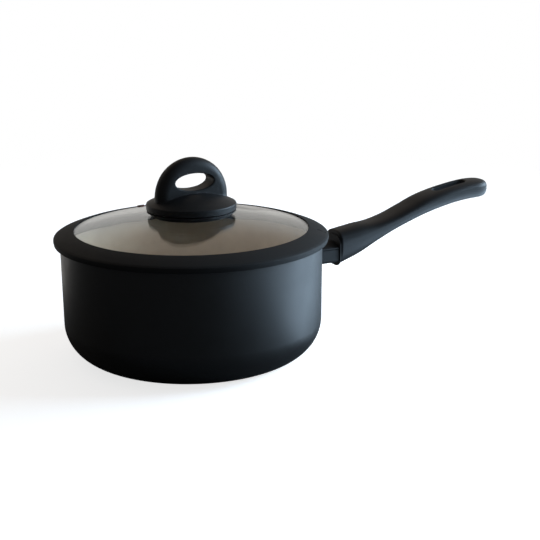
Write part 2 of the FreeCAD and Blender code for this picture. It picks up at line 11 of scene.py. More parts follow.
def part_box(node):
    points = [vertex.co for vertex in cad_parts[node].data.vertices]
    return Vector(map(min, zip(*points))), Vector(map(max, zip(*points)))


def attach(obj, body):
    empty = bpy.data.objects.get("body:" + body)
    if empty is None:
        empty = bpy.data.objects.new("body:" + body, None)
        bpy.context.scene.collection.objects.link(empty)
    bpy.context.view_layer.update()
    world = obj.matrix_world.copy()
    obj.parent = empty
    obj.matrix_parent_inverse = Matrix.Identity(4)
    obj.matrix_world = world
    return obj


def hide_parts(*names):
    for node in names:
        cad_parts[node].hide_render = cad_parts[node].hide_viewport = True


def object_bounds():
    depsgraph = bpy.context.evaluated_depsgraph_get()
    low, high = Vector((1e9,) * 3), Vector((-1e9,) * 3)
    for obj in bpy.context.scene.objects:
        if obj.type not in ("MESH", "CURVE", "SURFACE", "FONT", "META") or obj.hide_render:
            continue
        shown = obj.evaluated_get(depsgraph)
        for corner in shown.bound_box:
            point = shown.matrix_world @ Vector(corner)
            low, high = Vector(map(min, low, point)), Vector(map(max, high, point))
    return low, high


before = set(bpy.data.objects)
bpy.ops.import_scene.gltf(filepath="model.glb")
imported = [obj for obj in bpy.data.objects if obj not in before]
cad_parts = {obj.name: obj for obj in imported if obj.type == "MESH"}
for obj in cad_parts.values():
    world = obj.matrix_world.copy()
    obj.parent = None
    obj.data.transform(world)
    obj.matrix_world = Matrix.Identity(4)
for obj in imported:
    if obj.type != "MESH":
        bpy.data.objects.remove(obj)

bl_info = {
    "name": "Saucepan with glass lid",
    "version": (1, 0, 0),
    "blender": (4, 5, 0),
    "location": "3D View > Sidebar > Saucepan",
    "description": "Builds a saucepan, its handle and its glass lid around a fixed frame",
    "category": "Object",
}

CAD_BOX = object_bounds()
PAN = "pan"
LID = "lid"
MM = 0.001


# ---------------------------------------------------------------------------
# Outlines and meshes
# ---------------------------------------------------------------------------

def rounded(corners, closed=False, finest=math.radians(9)):
    """Points of an outline through (x, z, radius) corners, each radius made an arc."""
    points = []
    last = len(corners) - 1
    for index, (x, z, radius) in enumerate(corners):
        here = Vector((x, z))
        if radius == 0 or (not closed and index in (0, last)):
            points.append((x, z))
            continue
        before = (Vector(corners[index - 1][:2]) - here).normalized()
        after = (Vector(corners[(index + 1) % (last + 1)][:2]) - here).normalized()
        half = before.angle(after) / 2
        centre = here + (before + after).normalized() * (radius / math.sin(half))
        start = here + before * (radius / math.tan(half)) - centre
        end = here + after * (radius / math.tan(half)) - centre
        turn = math.atan2(start.x * end.y - start.y * end.x, start.dot(end))
        step = finest / 3 if radius > 10 * MM else finest
        steps = max(3, math.ceil(abs(turn) / step))
        for count in range(steps + 1):
            spot = centre + Matrix.Rotation(turn * count / steps, 2) @ start
            points.append((spot.x, spot.y))
    return points


def bowed(start, end, rise, count):
    """Points between two points of an outline, on the arc that stands this far off their line."""
    a = Vector(start)
    b = Vector(end)
    chord = b - a
    side = Vector((-chord.y, chord.x)).normalized()
    radius = (chord.length_squared / 4 + rise ** 2) / (2 * abs(rise))
    points = []
    for index in range(1, count):
        share = index / count
        along = (share - 0.5) * chord.length
        lift = math.sqrt(radius ** 2 - along ** 2) - (radius - abs(rise))
        spot = a + chord * share + side * math.copysign(lift, rise)
        points.append((spot.x, spot.y))
    return points


def turned(outline, columns=192, angles=None):
    """Points and faces of an outline of (radius, height) turned about Z.
    It closes on the axis where it ends there, and on itself where it doesn't."""
    if angles is None:
        angles = [2 * math.pi * index / columns for index in range(columns)]
    points = []
    rings = []
    for radius, height in outline:
        if radius < 1e-7:
            rings.append([len(points)] * len(angles))
            points.append((0.0, 0.0, height))
            continue
        rings.append(range(len(points), len(points) + len(angles)))
        for angle in angles:
            points.append((radius * math.cos(angle), radius * math.sin(angle), height))
    pairs = list(zip(rings, rings[1:]))
    if outline[0][0] > 1e-7:
        pairs.append((rings[-1], rings[0]))
    return points, sleeves(pairs)


def sleeves(pairs):
    """Faces that join each pair of rings of point numbers. A ring of one repeated point is a tip."""
    faces = []
    for lower, upper in pairs:
        count = len(lower)
        for index in range(count):
            after = (index + 1) % count
            corner = [lower[index], lower[after], upper[after], upper[index]]
            face = [spot for place, spot in enumerate(corner) if spot != corner[place - 1]]
            if len(face) > 2:
                faces.append(face)
    return faces


def skinned(rings):
    """Points and faces of a closed skin over rings of points, with a fan on each end."""
    points = [tuple(spot) for ring in rings for spot in ring]
    count = len(rings[0])
    numbers = [range(index * count, (index + 1) * count) for index in range(len(rings))]
    for ring in (rings[0], rings[-1]):
        middle = sum((Vector(spot) for spot in ring), Vector()) / count
        points.append(tuple(middle))
    tips = ([len(points) - 2] * count, [len(points) - 1] * count)
    return points, sleeves(list(zip(numbers, numbers[1:])) + [(tips[0], numbers[0]),
                                                              (numbers[-1], tips[1])])


def mesh_of(name, points, faces):
    """A smooth closed mesh whose faces point outwards."""
    mesh = bpy.data.meshes.new(name)
    mesh.from_pydata(points, [], faces)
    shell = bmesh.new()
    shell.from_mesh(mesh)
    if shell.calc_volume(signed=True) < 0:
        bmesh.ops.reverse_faces(shell, faces=shell.faces)
    for face in shell.faces:
        face.smooth = True
    shell.to_mesh(mesh)
    shell.free()
    return mesh


def note_edges(mesh):
    """Stores on each point how sharply the surface bends outwards there, from 0 to 1."""
    full_bend = 1 / (1.1 * MM)
    shell = bmesh.new()
    shell.from_mesh(mesh)
    shell.verts.ensure_lookup_table()
    bend = [0.0] * len(shell.verts)
    for edge in shell.edges:
        if len(edge.link_faces) != 2:
            continue
        across = sum(face.calc_area() for face in edge.link_faces) / 2 / max(edge.calc_length(), 1e-9)
        sharpness = edge.calc_face_angle_signed(0.0) / max(across, 1e-9)
        for vertex in edge.verts:
            bend[vertex.index] = max(bend[vertex.index], min(1.0, sharpness / full_bend))
    shell.free()
    attribute = mesh.attributes.new("edge", "FLOAT", "POINT")
    attribute.data.foreach_set("value", bend)


def object_of(mesh):
    piece = bpy.data.objects.new(mesh.name, mesh)
    bpy.context.scene.collection.objects.link(piece)
    return piece


def fit(piece, body, nodes=(), materials=()):
    """Gives a finished piece its materials and its place on a body."""
    note_edges(piece.data)
    for material in materials:
        piece.data.materials.append(material)
    weighted = piece.modifiers.new("Even shading", "WEIGHTED_NORMAL")
    weighted.keep_sharp = True
    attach(piece, body)
    if nodes:
        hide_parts(*nodes)
    return piece


def turned_piece(name, outline, body, nodes, material, columns=192, place=None):
    """A piece turned about Z, moved by a matrix if it stands somewhere else."""
    mesh = mesh_of(name, *turned(outline, columns))
    if place is not None:
        mesh.transform(place)
    return fit(object_of(mesh), body, nodes, [material])


def settled(piece):
    """The piece with its modifiers turned into plain mesh."""
    graph = bpy.context.evaluated_depsgraph_get()
    mesh = bpy.data.meshes.new_from_object(piece.evaluated_get(graph))
    mesh.name = piece.name
    piece.modifiers.clear()
    piece.data = mesh
    return piece


def combined(piece, tool, operation):
    """Joins a tool mesh to a piece, or cuts it out, and removes the tool."""
    modifier = piece.modifiers.new("Combine", "BOOLEAN")
    modifier.object = tool
    modifier.operation = operation
    modifier.solver = "EXACT"
    bpy.context.view_layer.update()
    settled(piece)
    bpy.data.objects.remove(tool)
    for polygon in piece.data.polygons:
        polygon.use_smooth = True
    return piece


# ---------------------------------------------------------------------------
# Node trees
# ---------------------------------------------------------------------------

def put(tree, kind, values=None, **settings):
    """Adds a node: settings are its own options, and values go to its inputs by name."""
    node = tree.nodes.new(kind)
    for key, value in settings.items():
        setattr(node, key, value)
    for key, value in (values or {}).items():
        if isinstance(value, bpy.types.NodeSocket):
            tree.links.new(value, node.inputs[key])
        else:
            node.inputs[key].default_value = value
    return node


def maths(tree, operation, first, second=0.0, third=0.0):
    """The result of a Math node whose inputs are sockets or numbers."""
    node = put(tree, "ShaderNodeMath", {0: first, 1: second, 2: third}, operation=operation)
    return node.outputs[0]


def span(tree, value, low, high, to_low=0.0, to_high=1.0):
    """A value carried smoothly from one range to another."""
    node = put(tree, "ShaderNodeMapRange",
               {"Value": value, "From Min": low, "From Max": high, "To Min": to_low, "To Max": to_high},
               interpolation_type="SMOOTHSTEP")
    return node.outputs["Result"]


def blend(tree, share, first, second):
    """A colour between two colours."""
    node = put(tree, "ShaderNodeMix", data_type="RGBA")
    for socket, value in zip((node.inputs[0], node.inputs[6], node.inputs[7]), (share, first, second)):
        if isinstance(value, bpy.types.NodeSocket):
            tree.links.new(value, socket)
        else:
            socket.default_value = value
    return node.outputs[2]


def new_group(name, kind, inputs, outputs):
    """A node group with named inputs (name, socket type, default) and outputs (name, socket type)."""
    group = bpy.data.node_groups.new(name, kind)
    for label, socket_type, default in inputs:
        socket = group.interface.new_socket(label, in_out="INPUT", socket_type=socket_type)
        if default is not None:
            socket.default_value = default
    for label, socket_type in outputs:
        group.interface.new_socket(label, in_out="OUTPUT", socket_type=socket_type)
    return group, put(group, "NodeGroupInput").outputs, put(group, "NodeGroupOutput")


def moulded_grain():
    """Shader group: the fine grain of a coated or moulded surface, and the slow drift of its tone."""
    group, given, result = new_group(
        "Moulded grain", "ShaderNodeTree",
        [("Coordinates", "NodeSocketVector", None),
         ("Grain size", "NodeSocketFloat", 0.5 * MM),
         ("Cloud size", "NodeSocketFloat", 30 * MM)],
        [("Height", "NodeSocketFloat"), ("Cloud", "NodeSocketFloat")],
    )
    fine = put(group, "ShaderNodeTexNoise", {
        "Vector": given["Coordinates"],
        "Scale": maths(group, "DIVIDE", 1.0, given["Grain size"]),
        "Detail": 3.0, "Roughness": 0.55})
    slow = put(group, "ShaderNodeTexNoise", {
        "Vector": given["Coordinates"],
        "Scale": maths(group, "DIVIDE", 1.0, given["Cloud size"]),
        "Detail": 4.0, "Roughness": 0.6})
    group.links.new(fine.outputs["Fac"], result.inputs["Height"])
    group.links.new(span(group, slow.outputs["Fac"], 0.3, 0.7), result.inputs["Cloud"])
    return group


def lint():
    """Shader group: stray specks of lint and dust, each a different size."""
    group, given, result = new_group(
        "Lint", "ShaderNodeTree",
        [("Coordinates", "NodeSocketVector", None),
         ("Spacing", "NodeSocketFloat", 4 * MM),
         ("Speck size", "NodeSocketFloat", 0.12 * MM),
         ("Share", "NodeSocketFloat", 0.3)],
        [("Mask", "NodeSocketFloat")],
    )
    cells = put(group, "ShaderNodeTexVoronoi", {
        "Vector": given["Coordinates"],
        "Scale": maths(group, "DIVIDE", 1.0, given["Spacing"])})
    draw = put(group, "ShaderNodeSeparateColor", {"Color": cells.outputs["Color"]})
    chosen = maths(group, "LESS_THAN", draw.outputs[0], given["Share"])
    reach = maths(group, "DIVIDE", given["Speck size"], given["Spacing"])
    reach = maths(group, "MULTIPLY", reach, maths(group, "ADD", draw.outputs[1], 0.4))
    inside = maths(group, "LESS_THAN", cells.outputs["Distance"], reach)
    faint = maths(group, "MULTIPLY", draw.outputs[2], maths(group, "MULTIPLY", chosen, inside))
    group.links.new(faint, result.inputs["Mask"])
    return group


def rubbed_edges():
    """Shader group: where handling has rubbed the outer edges, broken up by a fine noise."""
    group, given, result = new_group(
        "Rubbed edges", "ShaderNodeTree",
        [("Coordinates", "NodeSocketVector", None),
         ("Edge", "NodeSocketFloat", 0.0),
         ("Patch size", "NodeSocketFloat", 6 * MM)],
        [("Mask", "NodeSocketFloat")],
    )
    patches = put(group, "ShaderNodeTexNoise", {
        "Vector": given["Coordinates"],
        "Scale": maths(group, "DIVIDE", 1.0, given["Patch size"]),
        "Detail": 5.0, "Roughness": 0.7})
    worn = maths(group, "MULTIPLY", given["Edge"], span(group, patches.outputs["Fac"], 0.35, 0.75))
    group.links.new(span(group, worn, 0.15, 0.8), result.inputs["Mask"])
    return group


def turned_rings():
    """Shader group: the fine rings that a lathe or a brush leaves round an axis along Z."""
    group, given, result = new_group(
        "Turned rings", "ShaderNodeTree",
        [("Coordinates", "NodeSocketVector", None),
         ("Ring width", "NodeSocketFloat", 0.25 * MM)],
        [("Height", "NodeSocketFloat"), ("Shade", "NodeSocketFloat")],
    )
    parts = put(group, "ShaderNodeSeparateXYZ", {"Vector": given["Coordinates"]})
    flat = put(group, "ShaderNodeCombineXYZ", {"X": parts.outputs["X"], "Y": parts.outputs["Y"]})
    radius = put(group, "ShaderNodeVectorMath", {0: flat.outputs[0]}, operation="LENGTH")
    rings = maths(group, "DIVIDE", radius.outputs["Value"], given["Ring width"])
    lines = put(group, "ShaderNodeTexNoise", {"W": rings, "Scale": 1.0, "Detail": 4.0},
                noise_dimensions="1D")
    slow = put(group, "ShaderNodeTexNoise", {"W": maths(group, "MULTIPLY", rings, 0.07), "Scale": 1.0},
               noise_dimensions="1D")
    group.links.new(lines.outputs["Fac"], result.inputs["Height"])
    shade = maths(group, "ADD", maths(group, "MULTIPLY", lines.outputs["Fac"], 0.6),
                  maths(group, "MULTIPLY", slow.outputs["Fac"], 0.4))
    group.links.new(shade, result.inputs["Shade"])
    return group


def smudges():
    """Shader group: where fingers and drying water have left a faint film."""
    group, given, result = new_group(
        "Smudges", "ShaderNodeTree",
        [("Coordinates", "NodeSocketVector", None),
         ("Smudge size", "NodeSocketFloat", 25 * MM)],
        [("Mask", "NodeSocketFloat")],
    )
    film = put(group, "ShaderNodeTexNoise", {
        "Vector": given["Coordinates"],
        "Scale": maths(group, "DIVIDE", 1.0, given["Smudge size"]),
        "Detail": 6.0, "Roughness": 0.65, "Distortion": 0.8})
    group.links.new(span(group, film.outputs["Fac"], 0.5, 0.75), result.inputs["Mask"])
    return group


SHADER_GROUPS = {
    "grain": moulded_grain,
    "lint": lint,
    "edges": rubbed_edges,
    "rings": turned_rings,
    "smudges": smudges,
}


def shared(tree, key, values):
    """Places a shared effect in a material's tree, making its group the first time."""
    names = bpy.context.scene.get("shader_groups", {})
    if key not in names:
        made = dict(names)
        made[key] = SHADER_GROUPS[key]().name
        bpy.context.scene["shader_groups"] = made
    node = tree.nodes.new("ShaderNodeGroup")
    node.node_tree = bpy.data.node_groups[bpy.context.scene["shader_groups"][key]]
    for label, value in values.items():
        if isinstance(value, bpy.types.NodeSocket):
            tree.links.new(value, node.inputs[label])
        else:
            node.inputs[label].default_value = value
    return node.outputs


def shade(colour, factor):
    """A colour made darker or lighter, with its alpha."""
    return tuple(min(1.0, part * factor) for part in colour[:3]) + (1.0,)


def new_material(name, colour, **plain):
    """A material with one Principled shader: its tree, the shader and the Object coordinates."""
    material = bpy.data.materials.new(name)
    material.use_nodes = True
    material.diffuse_color = shade(colour, 1.0)
    tree = material.node_tree
    tree.nodes.clear()
    output = put(tree, "ShaderNodeOutputMaterial")
    shader = put(tree, "ShaderNodeBsdfPrincipled", {"Base Color": shade(colour, 1.0)})
    for label, value in plain.items():
        shader.inputs[label.replace("_", " ")].default_value = value
    tree.links.new(shader.outputs["BSDF"], output.inputs["Surface"])
    spots = put(tree, "ShaderNodeTexCoord").outputs["Object"]
    return material, tree, shader, spots


def raise_grain(tree, shader, height, distance, strength=1.0):
    bump = put(tree, "ShaderNodeBump", {"Height": height, "Distance": distance, "Strength": strength})
    tree.links.new(bump.outputs["Normal"], shader.inputs["Normal"])


def moulded(name, colour, roughness, grain=0.45 * MM, depth=0.03 * MM, dusty=0.0, worn=0.5, **plain):
    """A matt moulded or coated finish: grain, drifting tone, rubbed edges and a little lint."""
    existing = bpy.data.materials.get(name)
    if existing:
        return existing
    material, tree, shader, spots = new_material(name, colour, **plain)
    surface = shared(tree, "grain", {"Coordinates": spots, "Grain size": grain})
    edge = put(tree, "ShaderNodeAttribute", attribute_name="edge").outputs["Fac"]
    rubbed = shared(tree, "edges", {"Coordinates": spots, "Edge": edge})["Mask"]
    tone = blend(tree, surface["Cloud"], shade(colour, 0.86), shade(colour, 1.14))
    tone = blend(tree, maths(tree, "MULTIPLY", rubbed, worn), tone, shade(colour, 2.2))
    if dusty:
        specks = shared(tree, "lint", {"Coordinates": spots, "Share": dusty})["Mask"]
        tone = blend(tree, maths(tree, "MULTIPLY", specks, 0.5), tone, (0.35, 0.34, 0.32, 1.0))
    tree.links.new(tone, shader.inputs["Base Color"])
    rough = maths(tree, "ADD", span(tree, surface["Cloud"], 0.0, 1.0, roughness - 0.03, roughness + 0.03),
                  maths(tree, "MULTIPLY", surface["Height"], 0.05))
    rough = maths(tree, "SUBTRACT", rough, maths(tree, "MULTIPLY", rubbed, 0.12 * worn))
    tree.links.new(rough, shader.inputs["Roughness"])
    raise_grain(tree, shader, surface["Height"], depth)
    return material


def turned_metal(name, colour, roughness, width=0.2 * MM):
    """A metal finish with the rings that turning or brushing leaves."""
    existing = bpy.data.materials.get(name)
    if existing:
        return existing
    material, tree, shader, spots = new_material(name, colour, Metallic=1.0)
    rings = shared(tree, "rings", {"Coordinates": spots, "Ring width": width})
    cloud = shared(tree, "grain", {"Coordinates": spots, "Grain size": 0.3 * MM, "Cloud size": 18 * MM})
    tone = blend(tree, rings["Shade"], shade(colour, 0.82), shade(colour, 1.12))
    tone = blend(tree, maths(tree, "MULTIPLY", cloud["Cloud"], 0.25), tone, shade(colour, 0.7))
    tree.links.new(tone, shader.inputs["Base Color"])
    rough = span(tree, rings["Shade"], 0.2, 0.8, roughness - 0.06, roughness + 0.08)
    rough = maths(tree, "ADD", rough, maths(tree, "MULTIPLY", cloud["Cloud"], 0.06))
    tree.links.new(rough, shader.inputs["Roughness"])
    raise_grain(tree, shader, rings["Height"], 0.012 * MM)
    return material


def pan_enamel():
    return moulded("Black pan enamel", colours().enamel, 0.46, grain=0.8 * MM, depth=0.02 * MM,
                   worn=0.35)


def nonstick_coating():
    return moulded("Brown non-stick coating", colours().nonstick, 0.42, grain=1.1 * MM,
                   depth=0.03 * MM, worn=0.15)


def soft_touch():
    return moulded("Soft-touch black", colours().soft_touch, 0.48, grain=0.22 * MM, depth=0.02 * MM,
                   worn=0.4, Specular_IOR_Level=0.24)


def guard_moulding():
    return moulded("Guard moulding", colours().guard, 0.55, grain=0.35 * MM, depth=0.03 * MM, worn=0.4,
                   Specular_IOR_Level=0.22)


def rim_silicone():
    return moulded("Rim silicone", colours().silicone, 0.66, grain=0.3 * MM, depth=0.015 * MM,
                   dusty=0.12, worn=0.2, Specular_IOR_Level=0.2)


def seal_silicone():
    return moulded("Seal silicone", colours().silicone, 0.6, grain=0.3 * MM, depth=0.02 * MM, worn=0.2)


def grommet_silicone():
    return moulded("Grommet silicone", colours().grommet, 0.5, grain=0.2 * MM, depth=0.01 * MM, worn=0.2)


def cast_aluminium():
    return moulded("Cast aluminium", colours().aluminium, 0.5, grain=0.6 * MM, depth=0.05 * MM,
                   worn=0.6, Metallic=1.0)


def fastener_steel():
    return turned_metal("Fastener steel", colours().steel, 0.28, width=0.15 * MM)


def brushed_disc():
    return turned_metal("Brushed base steel", colours().steel, 0.3, width=0.3 * MM)


def turned_brass():
    return turned_metal("Turned brass", colours().brass, 0.25, width=0.2 * MM)


def lid_glass_finish():
    """Clear glass with a faint film. Light from lamps passes straight through to what is under it."""
    existing = bpy.data.materials.get("Lid glass")
    if existing:
        return existing
    material, tree, shader, spots = new_material(
        "Lid glass", colours().glass, Transmission_Weight=1.0, IOR=1.5)
    film = shared(tree, "smudges", {"Coordinates": spots})["Mask"]
    specks = shared(tree, "lint", {"Coordinates": spots, "Spacing": 7 * MM, "Share": 0.2})["Mask"]
    rough = span(tree, film, 0.0, 1.0, 0.01, 0.05)
    rough = maths(tree, "ADD", rough, maths(tree, "MULTIPLY", specks, 0.3))
    tree.links.new(rough, shader.inputs["Roughness"])
    ripple = put(tree, "ShaderNodeTexNoise", {"Vector": spots, "Scale": 1 / (40 * MM), "Detail": 1.0})
    raise_grain(tree, shader, ripple.outputs["Fac"], 0.15 * MM)
    clear = put(tree, "ShaderNodeBsdfTransparent", {"Color": (0.9, 0.91, 0.9, 1.0)})
    ray = put(tree, "ShaderNodeLightPath").outputs["Is Shadow Ray"]
    mixed = put(tree, "ShaderNodeMixShader",
                {0: ray, 1: shader.outputs["BSDF"], 2: clear.outputs["BSDF"]})
    output = next(node for node in tree.nodes if node.type == "OUTPUT_MATERIAL")
    tree.links.new(mixed.outputs["Shader"], output.inputs["Surface"])
    return material


# ---------------------------------------------------------------------------
# Sizes and colours
# ---------------------------------------------------------------------------

def length(label, words, default):
    return FloatProperty(name=label, description=words, default=default, unit="LENGTH", precision=5)


def colour(label, words, default):
    return FloatVectorProperty(name=label, description=words, default=default, subtype="COLOR",
                               size=4, min=0.0, max=1.0)


def angle(label, words, degrees):
    return FloatProperty(name=label, description=words, default=math.radians(degrees), subtype="ANGLE")


class SaucepanPanSizes(bpy.types.PropertyGroup):
    wall: length("Wall", "Thickness of the wall", 2.6 * MM)
    corner: length("Corner radius", "Outside radius between the wall and the base", 28.5 * MM)
    taper: length("Taper", "How much narrower the wall is above the corner than at the rim", 0.4 * MM)
    floor: length("Floor", "Height of the cooking surface", 4.7 * MM)
    foot: length("Foot", "How far the pan's foot stands above the steel disc's face", 0.35 * MM)
    peg_radius: length("Peg radius", "Radius of the pegs that lock the disc", 2.6 * MM)
    peg_first_ring: length("First ring", "Radius of the first ring of pegs", 13 * MM)
    peg_ring_step: length("Ring step", "Distance between rings of pegs", 12 * MM)
    peg_rings: IntProperty(name="Rings", description="Number of rings of pegs", default=5, min=1)


class SaucepanHandleSizes(bpy.types.PropertyGroup):
    guard_shoulder: length("Guard shoulder", "Height of the guard's side edges", 71 * MM)
    guard_round: length("Guard corner", "Radius of the guard's lower edges", 3.2 * MM)
    groove_height: length("Groove height", "Height of the groove along the guard's sides", 69.3 * MM)
    groove_width: length("Groove width", "Width and depth of that groove", 0.6 * MM)
    gasket_round: length("Gasket corner", "Corner radius of the gasket", 8 * MM)
    squareness: FloatProperty(name="Squareness", description="Power of the handle's section",
                              default=2.5, min=2.0, max=6.0)
    slot_start: length("Slot start", "Where the hanging slot begins along the handle", 223.5 * MM)
    slot_end: length("Slot end", "Where the hanging slot ends along the handle", 255.5 * MM)
    slot_half_width: length("Slot half width", "Half the hanging slot's width", 4.6 * MM)
    slot_round: length("Slot edge", "Radius of the slot's edges", 1.4 * MM)
    counterbore: length("Counterbore", "Radius of the screw's counterbore", 4.8 * MM)


class SaucepanLidSizes(bpy.types.PropertyGroup):
    dome_radius: length("Dome radius", "Radius of the sphere that the glass follows", 359.3 * MM)
    dome_apex: length("Dome apex", "Height of the top of the glass", 110.6 * MM)
    glass: length("Glass thickness", "Thickness of the glass", 4 * MM)
    glass_hole: length("Glass hole", "Radius of the hole for the knob's screw", 3.6 * MM)
    ring_top: length("Ring top", "Height of the ring's inner lip", 99.9 * MM)
    ring_inner: length("Ring inner radius", "Radius of the ring's inner lip", 89.4 * MM)
    seat_gap: length("Seat gap", "Gap between the pan's rim and the ring", 0.3 * MM)
    spigot: length("Spigot radius", "Outer radius of the lip that drops into the pan", 96.7 * MM)
    spigot_width: length("Spigot width", "Thickness of that lip", 2.9 * MM)
    lower_lip: length("Lower lip radius", "Inner radius of the lip under the glass", 90.6 * MM)
    mark_azimuth: angle("Mark azimuth", "Where the dash and the dot lie on the ring", -29.6)
    mark_depth: length("Mark depth", "Depth of the dash and the dot", 0.45 * MM)
    mark_half_width: length("Mark half width", "Half the width of the dash and the dot", 0.6 * MM)
    vent_x: length("Vent X", "Place of the steam vent", -10 * MM)
    vent_y: length("Vent Y", "Place of the steam vent", 81.5 * MM)


class SaucepanKnobSizes(bpy.types.PropertyGroup):
    plate_radius: length("Plate radius", "Radius of the knob's round plate", 34.4 * MM)
    plate_bottom: length("Plate bottom", "Height of the plate's lower edge", 113.6 * MM)
    plate_edge: length("Plate edge", "Height of the plate's upper edge", 118.4 * MM)
    plate_crown: length("Plate crown", "Height of the middle of the plate", 127 * MM)
    neck: length("Neck", "Radius of the neck in the gap under the plate", 31 * MM)
    seat_top: length("Seat top", "Height of the top of the seat", 113 * MM)
    seat_foot: length("Seat foot", "Radius of the seat on the glass", 31 * MM)
    gasket: length("Gasket", "Thickness of the gasket under the seat", 0.4 * MM)
    loop_radius: length("Loop radius", "Radius of the loop's outline", 29.6 * MM)
    loop_centre: length("Loop centre", "Height of the centre of that outline", 123.7 * MM)
    loop_half_thickness: length("Loop half thickness", "Half the loop's thickness", 7.5 * MM)
    loop_round: length("Loop round", "How far in from its outline the loop rounds over", 10 * MM)
    loop_fullness: FloatProperty(name="Loop fullness", description="Power of the rounded edge",
                                 default=2.2, min=2.0, max=4.0)
    loop_turn: angle("Loop turn", "How far the loop stands turned from the handle's line", 3.0)
    hole_half_length: length("Hole half length", "Half the finger hole's length", 16.0 * MM)
    hole_half_height: length("Hole half height", "Half the finger hole's height", 6.5 * MM)
    hole_height: length("Hole height", "Height of the finger hole's centre", 135.3 * MM)
    hole_round: length("Hole round", "Radius of the finger hole's edges", 1.1 * MM)


class SaucepanColours(bpy.types.PropertyGroup):
    enamel: colour("Enamel", "Outside of the pan", (0.0075, 0.0078, 0.0085, 1))
    nonstick: colour("Non-stick", "Inside of the pan", (0.50, 0.385, 0.275, 1))
    soft_touch: colour("Soft touch", "Handle and knob", (0.0085, 0.0088, 0.0095, 1))
    guard: colour("Guard", "Block between the pan and the handle", (0.011, 0.011, 0.012, 1))
    silicone: colour("Silicone", "Lid rim and seals", (0.008, 0.008, 0.0083, 1))
    grommet: colour("Grommet", "Seal round the vent", (0.2, 0.05, 0.03, 1))
    aluminium: colour("Aluminium", "Bracket and pegs", (0.36, 0.36, 0.37, 1))
    steel: colour("Steel", "Base disc and fasteners", (0.62, 0.61, 0.59, 1))
    brass: colour("Brass", "Threaded insert", (0.78, 0.58, 0.25, 1))
    glass: colour("Glass", "Dome of the lid", (0.955, 0.97, 0.96, 1))


class SaucepanStudio(bpy.types.PropertyGroup):
    distance: length("Camera distance", "From the camera to its aim", 850 * MM)
    azimuth: angle("Camera azimuth", "Round the pan; 0 looks along +Y", -27.0)
    elevation: angle("Camera elevation", "Above the horizon", 15.3)
    roll: angle("Camera roll", "Turn about the line of sight", 0.14)
    lens: FloatProperty(name="Lens", description="Focal length in millimetres", default=73.2)
    aim: FloatVectorProperty(name="Aim", description="Where the camera looks", size=3,
                             default=(0.05325, -0.02713, 0.0649), subtype="TRANSLATION")
    window_power: FloatProperty(name="Window", description="Power of the window light", default=25.0)
    table_power: FloatProperty(name="Table", description="Power of the lit table on the right", default=3.9)
    front_power: FloatProperty(name="Front", description="Power of the lit table in front", default=1.1)
    left_power: FloatProperty(name="Left", description="Power of the lit table on the left", default=0.7)
    floor: colour("Floor", "Colour of the floor", (0.88, 0.88, 0.88, 1))
    floor_glow: FloatProperty(name="Floor glow", description="How brightly the floor shows by itself",
                              default=0.84)


def pan():
    return bpy.context.scene.saucepan_pan


def handle():
    return bpy.context.scene.saucepan_handle


def lid():
    return bpy.context.scene.saucepan_lid


def knob():
    return bpy.context.scene.saucepan_knob


def colours():
    return bpy.context.scene.saucepan_colours


def studio():
    return bpy.context.scene.saucepan_studio


# ---------------------------------------------------------------------------
# Pan
# ---------------------------------------------------------------------------

def pan_outline():
    """The pan's outline from the axis under its floor to the rim, then from the rim to the axis inside."""
    size = pan()
    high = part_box("pan_body")[1]
    disc_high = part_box("base_disc")[1]
    rim = high.x
    top = high.z
    recess = disc_high.x + 0.05 * MM
    inner = rim - size.wall
    rim_round = size.wall / 2 - 0.02 * MM
    points = rounded([
        (0, disc_high.z, 0),
        (recess, disc_high.z, 0),
        (recess, size.foot, 0.25 * MM),
        (rim - size.taper, size.foot, size.corner),
        (rim, top, rim_round),
        (inner, top, rim_round),
        (inner - size.taper, size.floor, size.corner - size.wall),
        (0, size.floor, 0),
    ])
    highest = max(range(len(points)), key=lambda index: points[index][1])
    return points[:highest + 1], points[highest + 1:]


def copies_tree():
    """Geometry Nodes: copies of a piece turned round Z by even steps."""
    tree, given, result = new_group(
        "Copies round an axis", "GeometryNodeTree",
        [("Geometry", "NodeSocketGeometry", None),
         ("Piece", "NodeSocketObject", None),
         ("Count", "NodeSocketInt", 6),
         ("First angle", "NodeSocketFloat", 0.0),
         ("Step", "NodeSocketFloat", 1.0),
         ("Material", "NodeSocketMaterial", None)],
        [("Geometry", "NodeSocketGeometry")],
    )
    spots = put(tree, "GeometryNodeMeshLine", {"Count": given["Count"], "Offset": (0, 0, 0)})
    number = put(tree, "GeometryNodeInputIndex").outputs[0]
    turn = maths(tree, "ADD", maths(tree, "MULTIPLY", number, given["Step"]), given["First angle"])
    source = put(tree, "GeometryNodeObjectInfo", {"Object": given["Piece"]})
    facing = put(tree, "ShaderNodeCombineXYZ", {"Z": turn})
    copies = put(tree, "GeometryNodeInstanceOnPoints", {
        "Points": spots.outputs["Mesh"],
        "Instance": source.outputs["Geometry"],
        "Rotation": facing.outputs[0]})
    real = put(tree, "GeometryNodeRealizeInstances", {"Geometry": copies.outputs["Instances"]})
    painted = put(tree, "GeometryNodeSetMaterial", {
        "Geometry": real.outputs["Geometry"], "Material": given["Material"]})
    tree.links.new(painted.outputs["Geometry"], result.inputs["Geometry"])
    return tree


